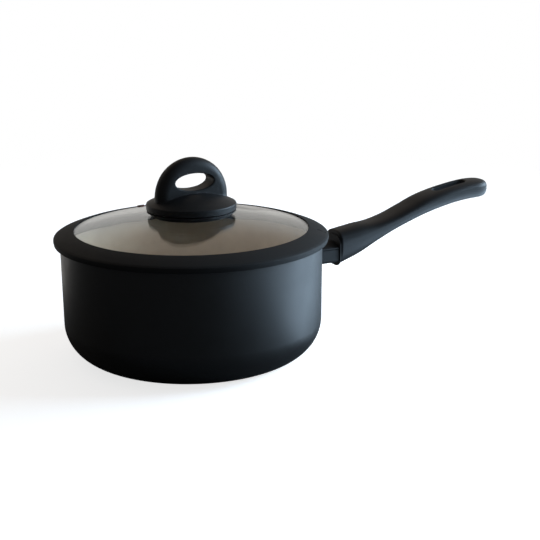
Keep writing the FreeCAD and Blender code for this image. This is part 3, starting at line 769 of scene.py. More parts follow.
def copied_round(name, original, rings, material):
    """One mesh of copies of an object round Z. A ring gives the mesh shift, count, first angle and step."""
    tree = bpy.data.node_groups.get("Copies round an axis") or copies_tree()
    sockets = {item.name: item.identifier for item in tree.interface.items_tree if item.in_out == "INPUT"}
    joined = bmesh.new()
    for shift, count, first, step in rings:
        source = object_of(original.data.copy())
        source.data.transform(Matrix.Translation((shift, 0, 0)))
        holder = object_of(bpy.data.meshes.new(name))
        modifier = holder.modifiers.new("Copies", "NODES")
        modifier.node_group = tree
        modifier[sockets["Piece"]] = source
        modifier[sockets["Count"]] = count
        modifier[sockets["First angle"]] = first
        modifier[sockets["Step"]] = step
        modifier[sockets["Material"]] = material
        bpy.context.view_layer.update()
        settled(holder)
        joined.from_mesh(holder.data)
        bpy.data.objects.remove(holder)
        bpy.data.objects.remove(source)
    mesh = bpy.data.meshes.new(name)
    joined.to_mesh(mesh)
    joined.free()
    for polygon in mesh.polygons:
        polygon.use_smooth = True
    bpy.data.objects.remove(original)
    return object_of(mesh)


class SAUCEPAN_OT_pan(bpy.types.Operator):
    """Build the pan: its coated shell, the pegs of its base and the steel disc"""
    bl_idname = "saucepan.build_pan"
    bl_label = "Pan"

    def execute(self, context):
        size = pan()
        columns = 256
        outside, inside = pan_outline()
        mesh = mesh_of("pan_shell", *turned(outside + inside, columns))
        fit(object_of(mesh), PAN, ["pan_body"], [pan_enamel(), nonstick_coating()])
        for polygon in mesh.polygons:
            polygon.material_index = int(polygon.index // columns >= len(outside))
        disc_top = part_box("base_disc")[1].z
        peg = object_of(mesh_of("peg", *turned(rounded([
            (0, 0.12 * MM, 0),
            (size.peg_radius, 0.12 * MM, 0.35 * MM),
            (size.peg_radius, disc_top + 0.1 * MM, 0),
            (0, disc_top + 0.1 * MM, 0),
        ]), 24)))
        rings = []
        for ring in range(size.peg_rings):
            count = 6 * (ring + 1)
            rings.append((size.peg_first_ring + ring * size.peg_ring_step, count, 0.0,
                          2 * math.pi / count))
        pegs = copied_round("base_pegs", peg, rings, cast_aluminium())
        pegs.data.materials.clear()
        fit(pegs, PAN, [], [cast_aluminium()])
        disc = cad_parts["base_disc"]
        disc.data.materials.clear()
        disc.data.materials.append(brushed_disc())
        return {"FINISHED"}


# ---------------------------------------------------------------------------
# Bracket, guard and handle
# ---------------------------------------------------------------------------

def extruded_x(name, section, start, end, edge):
    """A bar along X over a closed section of (y, z) points, with a rounded far edge.
    start gives the near face's x for each y."""
    ys = [y for y, z in section]
    zs = [z for y, z in section]
    middle = Vector(((min(ys) + max(ys)) / 2, (min(zs) + max(zs)) / 2))
    half = (max(zs) - min(zs)) / 2
    rings = [[(start(y), y, z) for y, z in section]]
    steps = 6
    for index in range(1, 12):
        share = index / 12
        rings.append([(start(y) + share * (end - edge - start(y)), y, z) for y, z in section])
    for index in range(steps + 1):
        turn = math.pi / 2 * index / steps
        shrink = 1 - edge * (1 - math.cos(turn)) / half
        x = end - edge + edge * math.sin(turn)
        ring = []
        for y, z in section:
            spot = middle + (Vector((y, z)) - middle) * shrink
            ring.append((x, spot.x, spot.y))
        rings.append(ring)
    return mesh_of(name, *skinned(rings))


def guard_section():
    size = handle()
    low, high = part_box("flame_guard")
    width = high.y
    groove = size.groove_width
    side = [
        (width, low.z, size.guard_round),
        (width, size.groove_height, 0.12 * MM),
        (width - groove, size.groove_height, 0),
        (width - groove, size.groove_height + groove, 0),
        (width, size.groove_height + groove, 0.12 * MM),
        (width, size.guard_shoulder, 0.5 * MM),
    ]
    crown = bowed((width, size.guard_shoulder), (-width, size.guard_shoulder),
                  -(high.z - size.guard_shoulder), 24)
    other = [(-y, z, radius) for y, z, radius in reversed(side)]
    return rounded(side + [(y, z, 0) for y, z in crown] + other, closed=True)


class SAUCEPAN_OT_bracket(bpy.types.Operator):
    """Build the bracket's finish, its rivets, the flame guard and the handle's gasket"""
    bl_idname = "saucepan.build_bracket"
    bl_label = "Bracket and guard"

    def execute(self, context):
        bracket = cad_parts["handle_bracket"]
        bracket.data.materials.clear()
        bracket.data.materials.append(cast_aluminium())
        guard_low, guard_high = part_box("flame_guard")
        pad_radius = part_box("handle_bracket")[0].x
        pad_outer = guard_low.x
        y_edge = guard_high.y
        wall_radius = math.hypot(pad_outer, y_edge)
        pan_side = max(wall_radius, pad_radius)

        def near_face(y):
            return math.sqrt(pan_side ** 2 - y ** 2)

        mesh = extruded_x("guard_block", guard_section(), near_face, guard_high.x, 0.5 * MM)
        fit(object_of(mesh), PAN, ["flame_guard"], [guard_moulding()])
        low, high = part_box("handle_gasket")
        corner = handle().gasket_round
        outline = rounded([
            (low.y, low.z, corner), (high.y, low.z, corner),
            (high.y, high.z, corner), (low.y, high.z, corner)], closed=True)
        mesh = extruded_x("gasket_plate", outline, lambda y: low.x, high.x, 0.25 * MM)
        fit(object_of(mesh), PAN, ["handle_gasket"], [seal_silicone()])
        self.rivets()
        return {"FINISHED"}

    def rivets(self):
        """Two rivets: one is turned about its own length, laid along +X and copied."""
        low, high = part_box("bracket_rivets")
        middle_z = (low.z + high.z) / 2
        head = (high.z - low.z) / 2
        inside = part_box("pan_body")[1].x - pan().wall - 0.35 * MM
        rivet_y = 6 * MM
        shank = 2.2 * MM
        tail = 2.8 * MM
        reach = math.hypot(high.x, rivet_y) - 0.1 * MM
        dome = bowed((0, inside - 1.6 * MM), (head, inside), -0.45 * MM, 8)
        outline = [(0, inside - 1.6 * MM)] + dome + [
            (head, inside), (head - 0.2 * MM, inside + 0.2 * MM), (shank, inside + 0.2 * MM),
            (shank, reach - 1.5 * MM), (tail, reach - 1.5 * MM), (tail - 0.5 * MM, reach), (0, reach)]
        mesh = mesh_of("rivet", *turned(outline, 32))
        mesh.transform(Matrix.Translation((0, 0, middle_z)) @ Euler((0, math.pi / 2, 0)).to_matrix().to_4x4())
        swing = math.atan2(rivet_y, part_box("pan_body")[1].x)
        rivets = copied_round("rivets", object_of(mesh), [(0.0, 2, -swing, 2 * swing)], cast_aluminium())
        rivets.data.materials.clear()
        fit(rivets, PAN, ["bracket_rivets"], [cast_aluminium()])


# x, half width, height of the side ridge, crown above it, depth below it, in millimetres
GRIP_STATIONS = (
    (126.0, 13.6, 73.0, 10.4, 18.4),
    (146.0, 13.4, 78.1, 8.2, 16.4),
    (162.0, 13.2, 82.4, 5.4, 12.6),
    (178.0, 13.4, 87.4, 4.2, 10.0),
    (194.0, 13.9, 93.2, 4.4, 9.6),
    (210.0, 14.3, 98.8, 5.3, 9.9),
    (226.0, 14.5, 102.5, 5.9, 9.4),
    (242.0, 14.5, 105.3, 6.2, 9.1),
    (258.0, 14.2, 107.2, 6.4, 9.4),
    (275.8, 14.1, 108.1, 6.0, 9.8),
)
GRIP_END_ROUND = 17.8 * MM
GRIP_END_Z = 104.5 * MM


def between(stations, x):
    """Values between stations, on a smooth curve through them all."""
    last = len(stations) - 1
    index = 0
    while index < last - 1 and x > stations[index + 1][0]:
        index += 1
    a, b = stations[index], stations[index + 1]
    before = stations[max(index - 1, 0)]
    after = stations[min(index + 2, last)]
    run = b[0] - a[0]
    t = min(max((x - a[0]) / run, 0.0), 1.0)
    values = []
    for place in range(1, len(a)):
        slope_a = (b[place] - before[place]) / (b[0] - before[0])
        slope_b = (after[place] - a[place]) / (after[0] - a[0])
        values.append(
            (2 * t ** 3 - 3 * t ** 2 + 1) * a[place] + (t ** 3 - 2 * t ** 2 + t) * run * slope_a
            + (3 * t ** 2 - 2 * t ** 3) * b[place] + (t ** 3 - t ** 2) * run * slope_b)
    return values


def grip_at(x):
    """Half width, ridge, crown and depth of the handle at x, with its rounded end."""
    half_width, ridge, crown, depth = (value * MM for value in between(GRIP_STATIONS, x / MM))
    end = GRIP_STATIONS[-1][0] * MM
    part = (x - (end - GRIP_END_ROUND)) / GRIP_END_ROUND
    if part > 0:
        part = min(part, 1.0)
        narrow = max(1 - part ** 2.5, 0.0) ** (1 / 2.5)
        low = max(1 - part ** 5, 0.0) ** 0.2
        half_width *= narrow
        ridge = GRIP_END_Z + (ridge - GRIP_END_Z) * low
        crown *= low
        depth *= low
    return half_width, ridge, crown, depth


def grip_height(x, y, upper):
    """Height of the handle's top or underside at a place inside its outline."""
    half_width, ridge, crown, depth = grip_at(x)
    power = 2 / handle().squareness
    across = min(abs(y) / half_width, 1.0) ** (1 / power)
    up = math.sqrt(max(1 - across ** 2, 0.0)) ** power
    return ridge + crown * up if upper else ridge - depth * up


def grip_spot(x, turn):
    """Point of the handle's section at x, for an angle round it."""
    half_width, ridge, crown, depth = grip_at(x)
    power = 2 / handle().squareness
    across = math.cos(turn)
    up = math.sin(turn)
    y = half_width * math.copysign(abs(across) ** power, across)
    height = crown if up > 0 else depth
    return Vector((x, y, ridge + math.copysign(height * abs(up) ** power, up)))


def grip_mesh():
    """The handle: a skin over its sections, opened round the hanging slot and joined to the slot's wall."""
    size = handle()
    around = 72
    spread = 6
    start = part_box("handle_grip")[0].x
    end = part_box("handle_grip")[1].x
    margin = 4 * MM
    patch = (size.slot_start - margin, size.slot_end + margin)
    front_round = 1.4 * MM

    xs = [start + front_round + (patch[0] - start - front_round) * index / 60 for index in range(60)]
    first_row = len(xs)
    xs += [patch[0] + (patch[1] - patch[0]) * index / 28 for index in range(29)]
    last_row = len(xs) - 1
    for index in range(1, 19):
        xs.append(patch[1] + (end - patch[1]) * math.sin(math.pi / 2 * index / 18))
    xs[-1] = end - 0.02 * MM

    points = []

    def add(spot):
        points.append(tuple(spot))
        return len(points) - 1

    rows = []
    steps = 5
    for index in range(steps):
        turn = math.pi / 2 * index / steps
        middle = grip_spot(start, math.pi / 2).lerp(grip_spot(start, -math.pi / 2), 0.5)
        shrink = 1 - front_round * (1 - math.sin(turn)) / (13 * MM)
        row = []
        for place in range(around):
            spot = grip_spot(start + front_round, 2 * math.pi * place / around)
            spot = middle + (spot - middle) * shrink
            spot.x = start + front_round * (1 - math.cos(turn))
            row.append(add(spot))
        rows.append(row)
    lead = len(rows)
    for x in xs:
        rows.append([add(grip_spot(x, 2 * math.pi * place / around)) for place in range(around)])
    first_row += lead
    last_row += lead

    faces = []
    top = around // 4
    bottom = 3 * around // 4
    for number in range(len(rows) - 1):
        for place in range(around):
            in_patch = first_row <= number < last_row
            near_top = top - spread <= place < top + spread
            near_bottom = bottom - spread <= place < bottom + spread
            if in_patch and (near_top or near_bottom):
                continue
            after = (place + 1) % around
            faces.append([rows[number][place], rows[number][after],
                          rows[number + 1][after], rows[number + 1][place]])
    front = add(sum((Vector(points[spot]) for spot in rows[0]), Vector()) / around)
    tip = add((end, 0, GRIP_END_Z))
    faces += sleeves([([front] * around, rows[0]), (rows[-1], [tip] * around)])

    def border(middle_place):
        """Point numbers round the opening, in order."""
        left, right = middle_place - spread, middle_place + spread
        loop = [rows[first_row][place] for place in range(left, right)]
        loop += [rows[number][right] for number in range(first_row, last_row)]
        loop += [rows[last_row][place] for place in range(right, left, -1)]
        loop += [rows[number][left] for number in range(last_row, first_row, -1)]
        return loop

    def slot_spot(spot, offset):
        """The place nearest to a point on the slot's outline grown by an offset."""
        radius = size.slot_half_width
        near = Vector((min(max(spot[0], size.slot_start + radius), size.slot_end - radius), 0))
        away = (Vector(spot[:2]) - near).normalized()
        return near + away * (radius + offset)

    def rings_to_wall(loop, upper):
        """Rings from the opening's border over the slot's rounded edge."""
        rings = [loop]
        sign = -1 if upper else 1
        for index in range(1, 6):
            share = index / 5
            ring = []
            for number in loop:
                spot = Vector(points[number][:2]).lerp(slot_spot(points[number], size.slot_round), share)
                ring.append(add((spot.x, spot.y, grip_height(spot.x, spot.y, upper))))
            rings.append(ring)
        for index in range(1, 7):
            turn = math.pi / 2 * index / 6
            ring = []
            for number in loop:
                edge = slot_spot(points[number], size.slot_round)
                spot = slot_spot(points[number], size.slot_round * (1 - math.sin(turn)))
                drop = size.slot_round * (1 - math.cos(turn))
                ring.append(add((spot.x, spot.y, grip_height(edge.x, edge.y, upper) + sign * drop)))
            rings.append(ring)
        return rings

    upper_rings = rings_to_wall(border(top), True)
    lower_loop = border(bottom)
    turned_loop = [lower_loop[0]] + lower_loop[:0:-1]
    shift = 2 * spread
    lower_loop = turned_loop[-shift:] + turned_loop[:-shift]
    lower_rings = rings_to_wall(lower_loop, False)
    wall = []
    for index in range(1, 6):
        share = index / 6
        wall.append([
            add(Vector(points[a]).lerp(Vector(points[b]), share))
            for a, b in zip(upper_rings[-1], lower_rings[-1])])
    chain = upper_rings + wall + lower_rings[::-1]
    faces += sleeves(list(zip(chain, chain[1:])))
    return mesh_of("grip", points, faces)


class SAUCEPAN_OT_handle(bpy.types.Operator):
    """Build the S-curved handle with its hanging slot, and the parts that hold it on"""
    bl_idname = "saucepan.build_handle"
    bl_label = "Handle"

    def execute(self, context):
        mesh = grip_mesh()
        shell = bmesh.new()
        shell.from_mesh(mesh)
        bmesh.ops.recalc_face_normals(shell, faces=shell.faces)
        shell.to_mesh(mesh)
        shell.free()
        grip = object_of(mesh)
        bore = handle().counterbore
        head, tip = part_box("handle_screw")
        axis = (head.x + tip.x) / 2
        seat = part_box("handle_washer")[1].z
        mouth = seat - 12 * MM
        tool = turned([(0, mouth), (bore, mouth), (bore, seat), (0, seat)], 64)
        tool = object_of(mesh_of("counterbore", *tool))
        tool.data.transform(Matrix.Translation((axis, 0, 0)))
        combined(grip, tool, "DIFFERENCE")
        fit(grip, PAN, ["handle_grip"], [soft_touch()])
        for name in ("handle_screw", "handle_washer", "handle_bush"):
            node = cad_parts[name]
            node.data.materials.clear()
            node.data.materials.append(fastener_steel())
        return {"FINISHED"}


# ---------------------------------------------------------------------------
# Lid
# ---------------------------------------------------------------------------

def dome_height(radius, below=0.0):
    """Height of the glass at a radius, on the surface this far below its outer one."""
    size = lid()
    sphere = size.dome_radius - below
    return size.dome_apex - size.dome_radius + math.sqrt(sphere ** 2 - radius ** 2)


def dome_points(start, end, below, count):
    """Outline points along the dome between two radii."""
    radii = [start + (end - start) * index / count for index in range(count + 1)]
    return [(radius, dome_height(radius, below)) for radius in radii]


def vent_place():
    """Matrix that stands a piece turned about Z square on the dome at the vent."""
    size = lid()
    spot = Vector((size.vent_x, size.vent_y, 0))
    tilt = math.asin(spot.length / size.dome_radius)
    turn = Matrix.Rotation(math.atan2(spot.y, spot.x), 4, "Z") @ Matrix.Rotation(tilt, 4, "Y")
    spot.z = dome_height(spot.length)
    return Matrix.Translation(spot) @ turn


class SAUCEPAN_OT_glass(bpy.types.Operator):
    """Build the glass dome with its ground edge and its vent hole"""
    bl_idname = "saucepan.build_glass"
    bl_label = "Glass"

    def execute(self, context):
        size = lid()
        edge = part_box("lid_glass")[1].x
        ground = 0.8 * MM
        outline = dome_points(size.glass_hole, edge - ground, 0.0, 40)
        outline += [(edge, dome_height(edge) - ground)]
        outline += [(edge, dome_height(edge, size.glass) + ground)]
        outline += dome_points(edge - ground, size.glass_hole, size.glass, 40)
        glass = object_of(mesh_of("glass_dome", *turned(outline, 192)))
        drill = 2.9 * MM
        below = -2 * size.glass
        outline = [(0, below), (drill, below), (drill, size.glass), (0, size.glass)]
        tool = mesh_of("vent_hole", *turned(outline, 48))
        tool.transform(vent_place())
        combined(glass, object_of(tool), "DIFFERENCE")
        fit(glass, LID, ["lid_glass"], [lid_glass_finish()])
        return {"FINISHED"}


def ring_outline():
    """The rim ring's section, from its inner lip over the top and round under the glass."""
    size = lid()
    low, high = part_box("lid_rim_ring")
    outer = high.x
    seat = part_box("pan_body")[1].z + size.seat_gap
    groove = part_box("lid_glass")[1].x + 0.05 * MM
    inner = size.ring_inner
    spigot_inner = size.spigot - size.spigot_width
    slack = 0.05 * MM
    crown_start = (inner + 0.5 * MM, size.ring_top)
    crown_end = (outer - 1.6 * MM, 95.4 * MM)
    crown = bowed(crown_start, crown_end, 0.28 * MM, 90)
    corners = [
        (inner, dome_height(inner, -slack), 0),
        (inner, size.ring_top - 0.05 * MM, 0.35 * MM),
        (*crown_start, 0),
        *((x, z, 0) for x, z in crown),
        (*crown_end, 0),
        (outer - 0.1 * MM, 94.4 * MM, 0.8 * MM),
        (outer, 93.0 * MM, 0.8 * MM),
        (outer - 0.5 * MM, 90.3 * MM, 0.8 * MM),
        (outer - 3.2 * MM, 90.7 * MM, 0.5 * MM),
        (outer - 3.8 * MM, seat, 0.4 * MM),
        (size.spigot + 0.2 * MM, seat, 0.3 * MM),
        (size.spigot - 0.2 * MM, low.z, 1.1 * MM),
        (spigot_inner + 0.3 * MM, low.z, 1.1 * MM),
        (spigot_inner, 91.8 * MM, 0.6 * MM),
        (size.lower_lip, 92.6 * MM, 0.3 * MM),
        (size.lower_lip, dome_height(size.lower_lip, size.glass + slack), 0),
        *((x, z, 0) for x, z in dome_points(size.lower_lip, groove, size.glass + slack, 4)[1:]),
        *((x, z, 0) for x, z in dome_points(groove, inner, -slack, 6)[:-1]),
    ]
    return rounded(corners, closed=True)


def sink_marks(mesh):
    """Presses the dash and the dot into the ring's top."""
    size = lid()
    half = size.mark_half_width
    soft = 0.15 * MM
    dash = (95.7 * MM, 100.0 * MM)
    dot = 101.9 * MM
    for vertex in mesh.vertices:
        x, y, z = vertex.co
        radius = math.hypot(x, y)
        if z < 95.5 * MM or not dash[0] - MM < radius < dot + MM:
            continue
        aside = radius * (math.atan2(y, x) - size.mark_azimuth)
        near = min(max(radius, dash[0] + half), dash[1] - half)
        to_dash = math.hypot(radius - near, aside)
        to_dot = math.hypot(radius - dot, aside)
        depth = min(max((half + soft - min(to_dash, to_dot)) / (2 * soft), 0.0), 1.0)
        vertex.co.z -= size.mark_depth * depth * depth * (3 - 2 * depth)


class SAUCEPAN_OT_rim_ring(bpy.types.Operator):
    """Build the silicone ring round the glass, with its sunk marks"""
    bl_idname = "saucepan.build_rim_ring"
    bl_label = "Rim ring"

    def execute(self, context):
        azimuth = lid().mark_azimuth
        fine = math.radians(0.06)
        fine_steps = 16
        angles = [azimuth + fine * index for index in range(-fine_steps, fine_steps + 1)]
        rest = 2 * math.pi - 2 * fine * fine_steps
        columns = 240
        angles += [angles[-1] + rest * index / columns for index in range(1, columns)]
        mesh = mesh_of("rim_ring", *turned(ring_outline(), angles=angles))
        sink_marks(mesh)
        fit(object_of(mesh), LID, ["lid_rim_ring"], [rim_silicone()])
        return {"FINISHED"}


class SAUCEPAN_OT_vent(bpy.types.Operator):
    """Build the steam vent: its steel eyelet and its silicone grommet"""
    bl_idname = "saucepan.build_vent"
    bl_label = "Steam vent"

    def execute(self, context):
        glass = lid().glass
        place = vent_place()
        bore = 1.6 * MM
        body = 2.1 * MM
        flange = 3.6 * MM
        lip = 0.7 * MM
        top = 1.3 * MM
        under = -glass - lip
        eyelet = rounded([
            (bore, under - 0.5 * MM, 0.2 * MM), (bore, top, 0.35 * MM), (flange, top, 0.45 * MM),
            (flange, lip, 0.1 * MM), (body, lip, 0), (body, under, 0), (flange, under, 0.1 * MM),
            (flange, under - 0.5 * MM, 0.3 * MM)], closed=True)
        turned_piece("eyelet", eyelet, LID, ["vent_eyelet"], fastener_steel(),
                     64, place)
        outer = 4.3 * MM
        hole = 2.85 * MM
        inner = body + 0.05 * MM
        grommet = rounded([
            (inner, under, 0), (inner, lip, 0.05 * MM), (outer, lip, 0.35 * MM),
            (outer, 0.1 * MM, 0.05 * MM), (hole, 0.1 * MM, 0), (hole, -glass - 0.1 * MM, 0),
            (outer, -glass - 0.1 * MM, 0.05 * MM), (outer, under, 0.3 * MM)], closed=True)
        turned_piece("grommet", grommet, LID, ["vent_grommet"],
                     grommet_silicone(), 64, place)
        return {"FINISHED"}


# ---------------------------------------------------------------------------
# Knob
# ---------------------------------------------------------------------------

def plate_outline():
    """The knob's round plate, from the axis under it over its domed top."""
    size = knob()
    radius = size.plate_radius
    crown = bowed((radius, size.plate_edge), (0, size.plate_crown), -2.15 * MM, 24)
    corners = [
        (0, size.seat_top, 0),
        (size.neck, size.seat_top, 0),
        (size.neck, size.plate_bottom, 0.15 * MM),
        (radius, size.plate_bottom, 0.9 * MM),
        (radius, size.plate_edge, 1.1 * MM),
        *((x, z, 0) for x, z in crown[2:]),
        (0, size.plate_crown, 0),
    ]
    return rounded(corners)


def plate_height(x, y):
    """Height of the plate's domed top at a place."""
    size = knob()
    rise = size.plate_crown - size.plate_edge
    sphere = (size.plate_radius ** 2 + rise ** 2) / (2 * rise)
    flat = min(math.hypot(x, y), size.plate_radius)
    return size.plate_crown - sphere + math.sqrt(sphere ** 2 - flat ** 2)


def loop_reach(turn, bottom):
    """How far the loop's outline lies from the hole's centre, in a direction."""
    size = knob()
    across = math.cos(turn)
    up = math.sin(turn)
    drop = size.hole_height - size.loop_centre
    half = up * drop
    reach = -half + math.sqrt(half ** 2 - drop ** 2 + size.loop_radius ** 2)
    if size.hole_height + reach * up < size.loop_centre:
        reach = size.loop_radius / max(abs(across), 1e-6)
    if up < 0:
        reach = min(reach, (size.hole_height - bottom) / -up)
    return reach


def loop_section(width):
    """Half of the loop's section as (distance from the hole's wall, half thickness) points."""
    size = knob()
    thick = size.loop_half_thickness
    inner = size.hole_round
    outer = min(size.loop_round, width - inner - 0.4 * MM)
    power = 2 / size.loop_fullness
    points = [(0.0, (thick - inner) * index / 4) for index in range(4)]
    for index in range(9):
        turn = math.pi / 2 * index / 8
        points.append((inner * (1 - math.cos(turn)), thick - inner * (1 - math.sin(turn))))
    flat = width - inner - outer
    points += [(inner + flat * index / 4, thick) for index in range(1, 4)]
    for index in range(18):
        turn = math.pi / 2 * (1 - index / 18)
        points.append((width - outer * (1 - math.cos(turn) ** power), thick * math.sin(turn) ** power))
    points.append((width, 0.0))
    return points


def loop_mesh():
    """The finger loop: a section carried round the finger hole, flared a little onto the plate."""
    size = knob()
    bottom = size.seat_top + 2.5 * MM
    flare = 0.6 * MM
    count = 192
    rings = []
    for index in range(count):
        turn = 2 * math.pi * index / count
        inner = Vector((size.hole_half_length * math.cos(turn), size.hole_half_height * math.sin(turn)))
        outer = Vector((math.cos(turn), math.sin(turn))) * loop_reach(turn, bottom)
        width = (outer - inner).length
        half = loop_section(width)
        section = half + [(along, -thick) for along, thick in reversed(half[1:-1])]
        ring = []
        for along, thick in section:
            spot = inner.lerp(outer, along / width)
            z = size.hole_height + spot.y
            near = 1 - (z - plate_height(spot.x, thick)) / flare
            if near > 0 and abs(thick) > MM:
                grow = flare * (1 - math.sqrt(max(1 - near ** 2, 0.0)))
                thick += math.copysign(grow, thick)
            ring.append((spot.x, thick, z))
        rings.append(ring)
    points = [spot for ring in rings for spot in ring]
    around = len(rings[0])
    numbers = [range(index * around, (index + 1) * around) for index in range(count)]
    mesh = mesh_of("knob_loop", points, sleeves(list(zip(numbers, numbers[1:] + numbers[:1]))))
    mesh.transform(Matrix.Rotation(size.loop_turn, 4, "Z"))
    return mesh


class SAUCEPAN_OT_knob(bpy.types.Operator):
    """Build the knob: a finger loop and its round plate as one moulding"""
    bl_idname = "saucepan.build_knob"
    bl_label = "Knob"

    def execute(self, context):
        plate = object_of(mesh_of("knob", *turned(plate_outline(), 160)))
        combined(plate, object_of(loop_mesh()), "UNION")
        fit(plate, LID, ["knob_grip"], [soft_touch()])
        return {"FINISHED"}


class SAUCEPAN_OT_knob_base(bpy.types.Operator):
    """Build the knob's bowl-shaped seat and gasket, and finish the parts that hold the knob"""
    bl_idname = "saucepan.build_knob_base"
    bl_label = "Knob base"

    def execute(self, context):
        size = knob()
        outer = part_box("knob_seat")[1].x
        hole = 3 * MM
        foot = dome_height(size.seat_foot, -size.gasket)
        bowl = bowed((outer, size.seat_top - 0.7 * MM), (size.seat_foot, foot), -0.9 * MM, 10)
        corners = [
            (hole, size.seat_top, 0),
            (outer, size.seat_top, 0.5 * MM),
            (outer, size.seat_top - 0.7 * MM, 0),
            *((x, z, 0) for x, z in bowl),
            (size.seat_foot, foot, 0),
            *((x, z, 0) for x, z in dome_points(size.seat_foot, hole, -size.gasket, 12)[1:]),
        ]
        turned_piece("seat", rounded(corners, closed=True), LID, ["knob_seat"],
                     guard_moulding())
        edge = size.seat_foot - 0.8 * MM
        sheet = dome_points(3.7 * MM, edge, 0.0, 12) + dome_points(edge, 3.7 * MM, -size.gasket, 12)
        turned_piece("seat_gasket", sheet, LID, ["knob_gasket"], seal_silicone(), 96)
        finishes = {
            "knob_screw": fastener_steel, "knob_washer": fastener_steel,
            "knob_seal": seal_silicone, "knob_insert": turned_brass,
        }
        for name, finish in finishes.items():
            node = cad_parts[name]
            node.data.materials.clear()
            node.data.materials.append(finish())
        return {"FINISHED"}


# ---------------------------------------------------------------------------
# Stage
# ---------------------------------------------------------------------------

def round_pan(azimuth, elevation, distance, centre):
    """A place seen from the centre at an azimuth and elevation, as the camera's are counted."""
    away = Vector((math.sin(azimuth) * math.cos(elevation),
                   -math.cos(azimuth) * math.cos(elevation),
                   math.sin(elevation)))
    return centre + away * distance


def beside_pan(right, near, height):
    """A place given by how far it is to the camera's right and towards the camera from the pan's axis."""
    azimuth = studio().azimuth
    to_right = Vector((math.cos(azimuth), math.sin(azimuth), 0))
    to_camera = Vector((math.sin(azimuth), -math.cos(azimuth), 0))
    return to_right * right + to_camera * near + Vector((0, 0, height))


def soft_light(name, place, turn, size, power, tint):
    """A large flat light that the camera doesn't see."""
    lamp = bpy.data.lights.new(name, "AREA")
    lamp.shape = "RECTANGLE"
    lamp.size, lamp.size_y = size
    lamp.energy = power
    lamp.color = tint
    light = bpy.data.objects.new(name, lamp)
    light.location = place
    light.rotation_euler = turn
    light.visible_camera = False
    bpy.context.scene.collection.objects.link(light)


def floor_finish():
    """A pale floor that fades into the backdrop. What it throws back on the pan is held down."""
    set_up = studio()
    pale = set_up.floor
    material, tree, shader, spots = new_material("Pale floor", pale, Roughness=0.7,
                                                 Specular_IOR_Level=0.0)
    fine = shared(tree, "grain", {"Coordinates": spots, "Grain size": 2 * MM, "Cloud size": 0.3})
    tone = blend(tree, fine["Cloud"], shade(pale, 0.99), shade(pale, 1.01))
    seen = put(tree, "ShaderNodeLightPath").outputs["Is Camera Ray"]
    tree.links.new(blend(tree, seen, shade(pale, 0.16), tone), shader.inputs["Base Color"])
    tree.links.new(blend(tree, seen, (0, 0, 0, 1), tone), shader.inputs["Emission Color"])
    shader.inputs["Emission Strength"].default_value = set_up.floor_glow
    raise_grain(tree, shader, fine["Height"], 0.05 * MM)
    reach = put(tree, "ShaderNodeVectorMath", {0: spots}, operation="LENGTH").outputs["Value"]
    gone = put(tree, "ShaderNodeBsdfTransparent")
    mixed = put(tree, "ShaderNodeMixShader", {
        0: span(tree, reach, 0.35, 0.95), 1: shader.outputs["BSDF"], 2: gone.outputs["BSDF"]})
    output = next(node for node in tree.nodes if node.type == "OUTPUT_MATERIAL")
    tree.links.new(mixed.outputs["Shader"], output.inputs["Surface"])
    return material


def surroundings():
    """Soft light from all round: bright low behind the pan, warm above that, dim elsewhere."""
    world = bpy.data.worlds.new("Studio")
    world.use_nodes = True
    tree = world.node_tree
    tree.nodes.clear()
    output = put(tree, "ShaderNodeOutputWorld")
    way = put(tree, "ShaderNodeTexCoord").outputs["Generated"]
    parts = put(tree, "ShaderNodeSeparateXYZ", {"Vector": way}).outputs
    level = put(tree, "ShaderNodeCombineXYZ", {"X": parts["X"], "Y": parts["Y"]}).outputs[0]
    level = put(tree, "ShaderNodeVectorMath", {0: level}, operation="NORMALIZE").outputs["Vector"]
    back = beside_pan(0, -1, 0)
    behind = put(tree, "ShaderNodeVectorMath", {0: level, 1: back}, operation="DOT_PRODUCT").outputs["Value"]
    backdrop = blend(tree, span(tree, parts["Z"], 0.2, 0.55), (0.56, 0.55, 0.53, 1), (0.48, 0.4, 0.33, 1))
    share = maths(tree, "MULTIPLY", span(tree, behind, 0.0, 0.7), span(tree, parts["Z"], 0.88, 0.7))
    glow = blend(tree, share, (0.12, 0.12, 0.12, 1), backdrop)
    seen = put(tree, "ShaderNodeLightPath").outputs["Is Camera Ray"]
    lit = put(tree, "ShaderNodeBackground", {"Color": glow})
    plain = put(tree, "ShaderNodeBackground", {"Color": (1, 1, 1, 1)})
    mixed = put(tree, "ShaderNodeMixShader", {0: seen, 1: lit.outputs[0], 2: plain.outputs[0]})
    tree.links.new(mixed.outputs[0], output.inputs["Surface"])
    bpy.context.scene.world = world


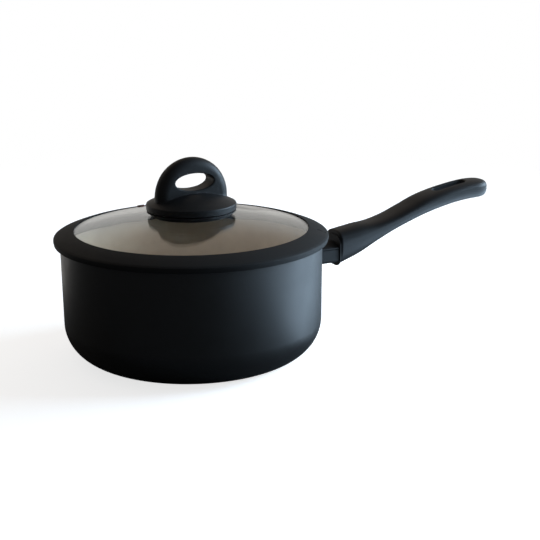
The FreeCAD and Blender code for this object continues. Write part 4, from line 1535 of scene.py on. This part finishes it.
class SAUCEPAN_OT_stage(bpy.types.Operator):
    """Set the floor, the lights and the camera"""
    bl_idname = "saucepan.set_stage"
    bl_label = "Stage"

    def execute(self, context):
        set_up = studio()
        reach = 3.0
        bottom = CAD_BOX[0].z
        points = [(-reach, -reach, bottom), (reach, -reach, bottom), (reach, reach, bottom),
                  (-reach, reach, bottom)]
        mesh = bpy.data.meshes.new("floor")
        mesh.from_pydata(points, [], [(0, 1, 2, 3)])
        mesh.materials.append(floor_finish())
        object_of(mesh)
        surroundings()
        self.lights()
        camera = bpy.data.objects.new("camera", bpy.data.cameras.new("camera"))
        camera.data.lens = set_up.lens
        camera.data.sensor_width = 36.0
        camera.data.clip_end = 100.0
        aim = Vector(set_up.aim)
        place = round_pan(set_up.azimuth, set_up.elevation, set_up.distance, aim)
        turn = (aim - place).to_track_quat("-Z", "Y").to_matrix()
        turn = turn @ Matrix.Rotation(-set_up.roll, 3, "Z")
        camera.location = place
        camera.rotation_euler = turn.to_euler()
        context.scene.collection.objects.link(camera)
        context.scene.camera = camera
        context.scene.view_settings.view_transform = "Standard"
        return {"FINISHED"}

    def lights(self):
        """A window on the right, and the patches of table that it lights round the pan."""
        set_up = studio()
        sky = (0.6, 0.8, 1.0)
        centre = Vector((0, 0, 0.06))
        window = beside_pan(1.1, -0.3, 0.45)
        facing = (centre - window).to_track_quat("-Z", "Y").to_euler()
        soft_light("window", window, facing, (0.9, 0.6), set_up.window_power, sky)
        upwards = Euler((math.pi, 0, -set_up.azimuth))
        just_above = 4 * MM
        soft_light("table_right", beside_pan(0.5, -0.12, just_above), upwards, (0.68, 0.42),
                   set_up.table_power, sky)
        soft_light("table_front", beside_pan(0.48, 0.36, just_above), upwards, (0.3, 0.3),
                   set_up.front_power, sky)
        soft_light("table_left", beside_pan(-0.33, -0.4, just_above), upwards, (0.4, 0.5),
                   set_up.left_power, (1.0, 0.97, 0.93))


class SAUCEPAN_PT_panel(bpy.types.Panel):
    """Lists the steps that build the saucepan"""
    bl_label = "Saucepan"
    bl_space_type = "VIEW_3D"
    bl_region_type = "UI"
    bl_category = "Saucepan"

    def draw(self, context):
        for step in STEPS:
            self.layout.operator(step.bl_idname)


GROUPS = {
    "saucepan_pan": SaucepanPanSizes,
    "saucepan_handle": SaucepanHandleSizes,
    "saucepan_lid": SaucepanLidSizes,
    "saucepan_knob": SaucepanKnobSizes,
    "saucepan_colours": SaucepanColours,
    "saucepan_studio": SaucepanStudio,
}
STEPS = (
    SAUCEPAN_OT_pan,
    SAUCEPAN_OT_bracket,
    SAUCEPAN_OT_handle,
    SAUCEPAN_OT_glass,
    SAUCEPAN_OT_rim_ring,
    SAUCEPAN_OT_vent,
    SAUCEPAN_OT_knob,
    SAUCEPAN_OT_knob_base,
    SAUCEPAN_OT_stage,
)


def register():
    for name, group in GROUPS.items():
        bpy.utils.register_class(group)
        setattr(bpy.types.Scene, name, PointerProperty(type=group))
    for step in STEPS:
        bpy.utils.register_class(step)
    bpy.utils.register_class(SAUCEPAN_PT_panel)


def unregister():
    bpy.utils.unregister_class(SAUCEPAN_PT_panel)
    for step in reversed(STEPS):
        bpy.utils.unregister_class(step)
    for name, group in GROUPS.items():
        delattr(bpy.types.Scene, name)
        bpy.utils.unregister_class(group)


def main():
    """Registers the add-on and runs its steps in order."""
    register()
    for step in STEPS:
        group, name = step.bl_idname.split(".")
        getattr(getattr(bpy.ops, group), name)()


if __name__ == "__main__":
    main()
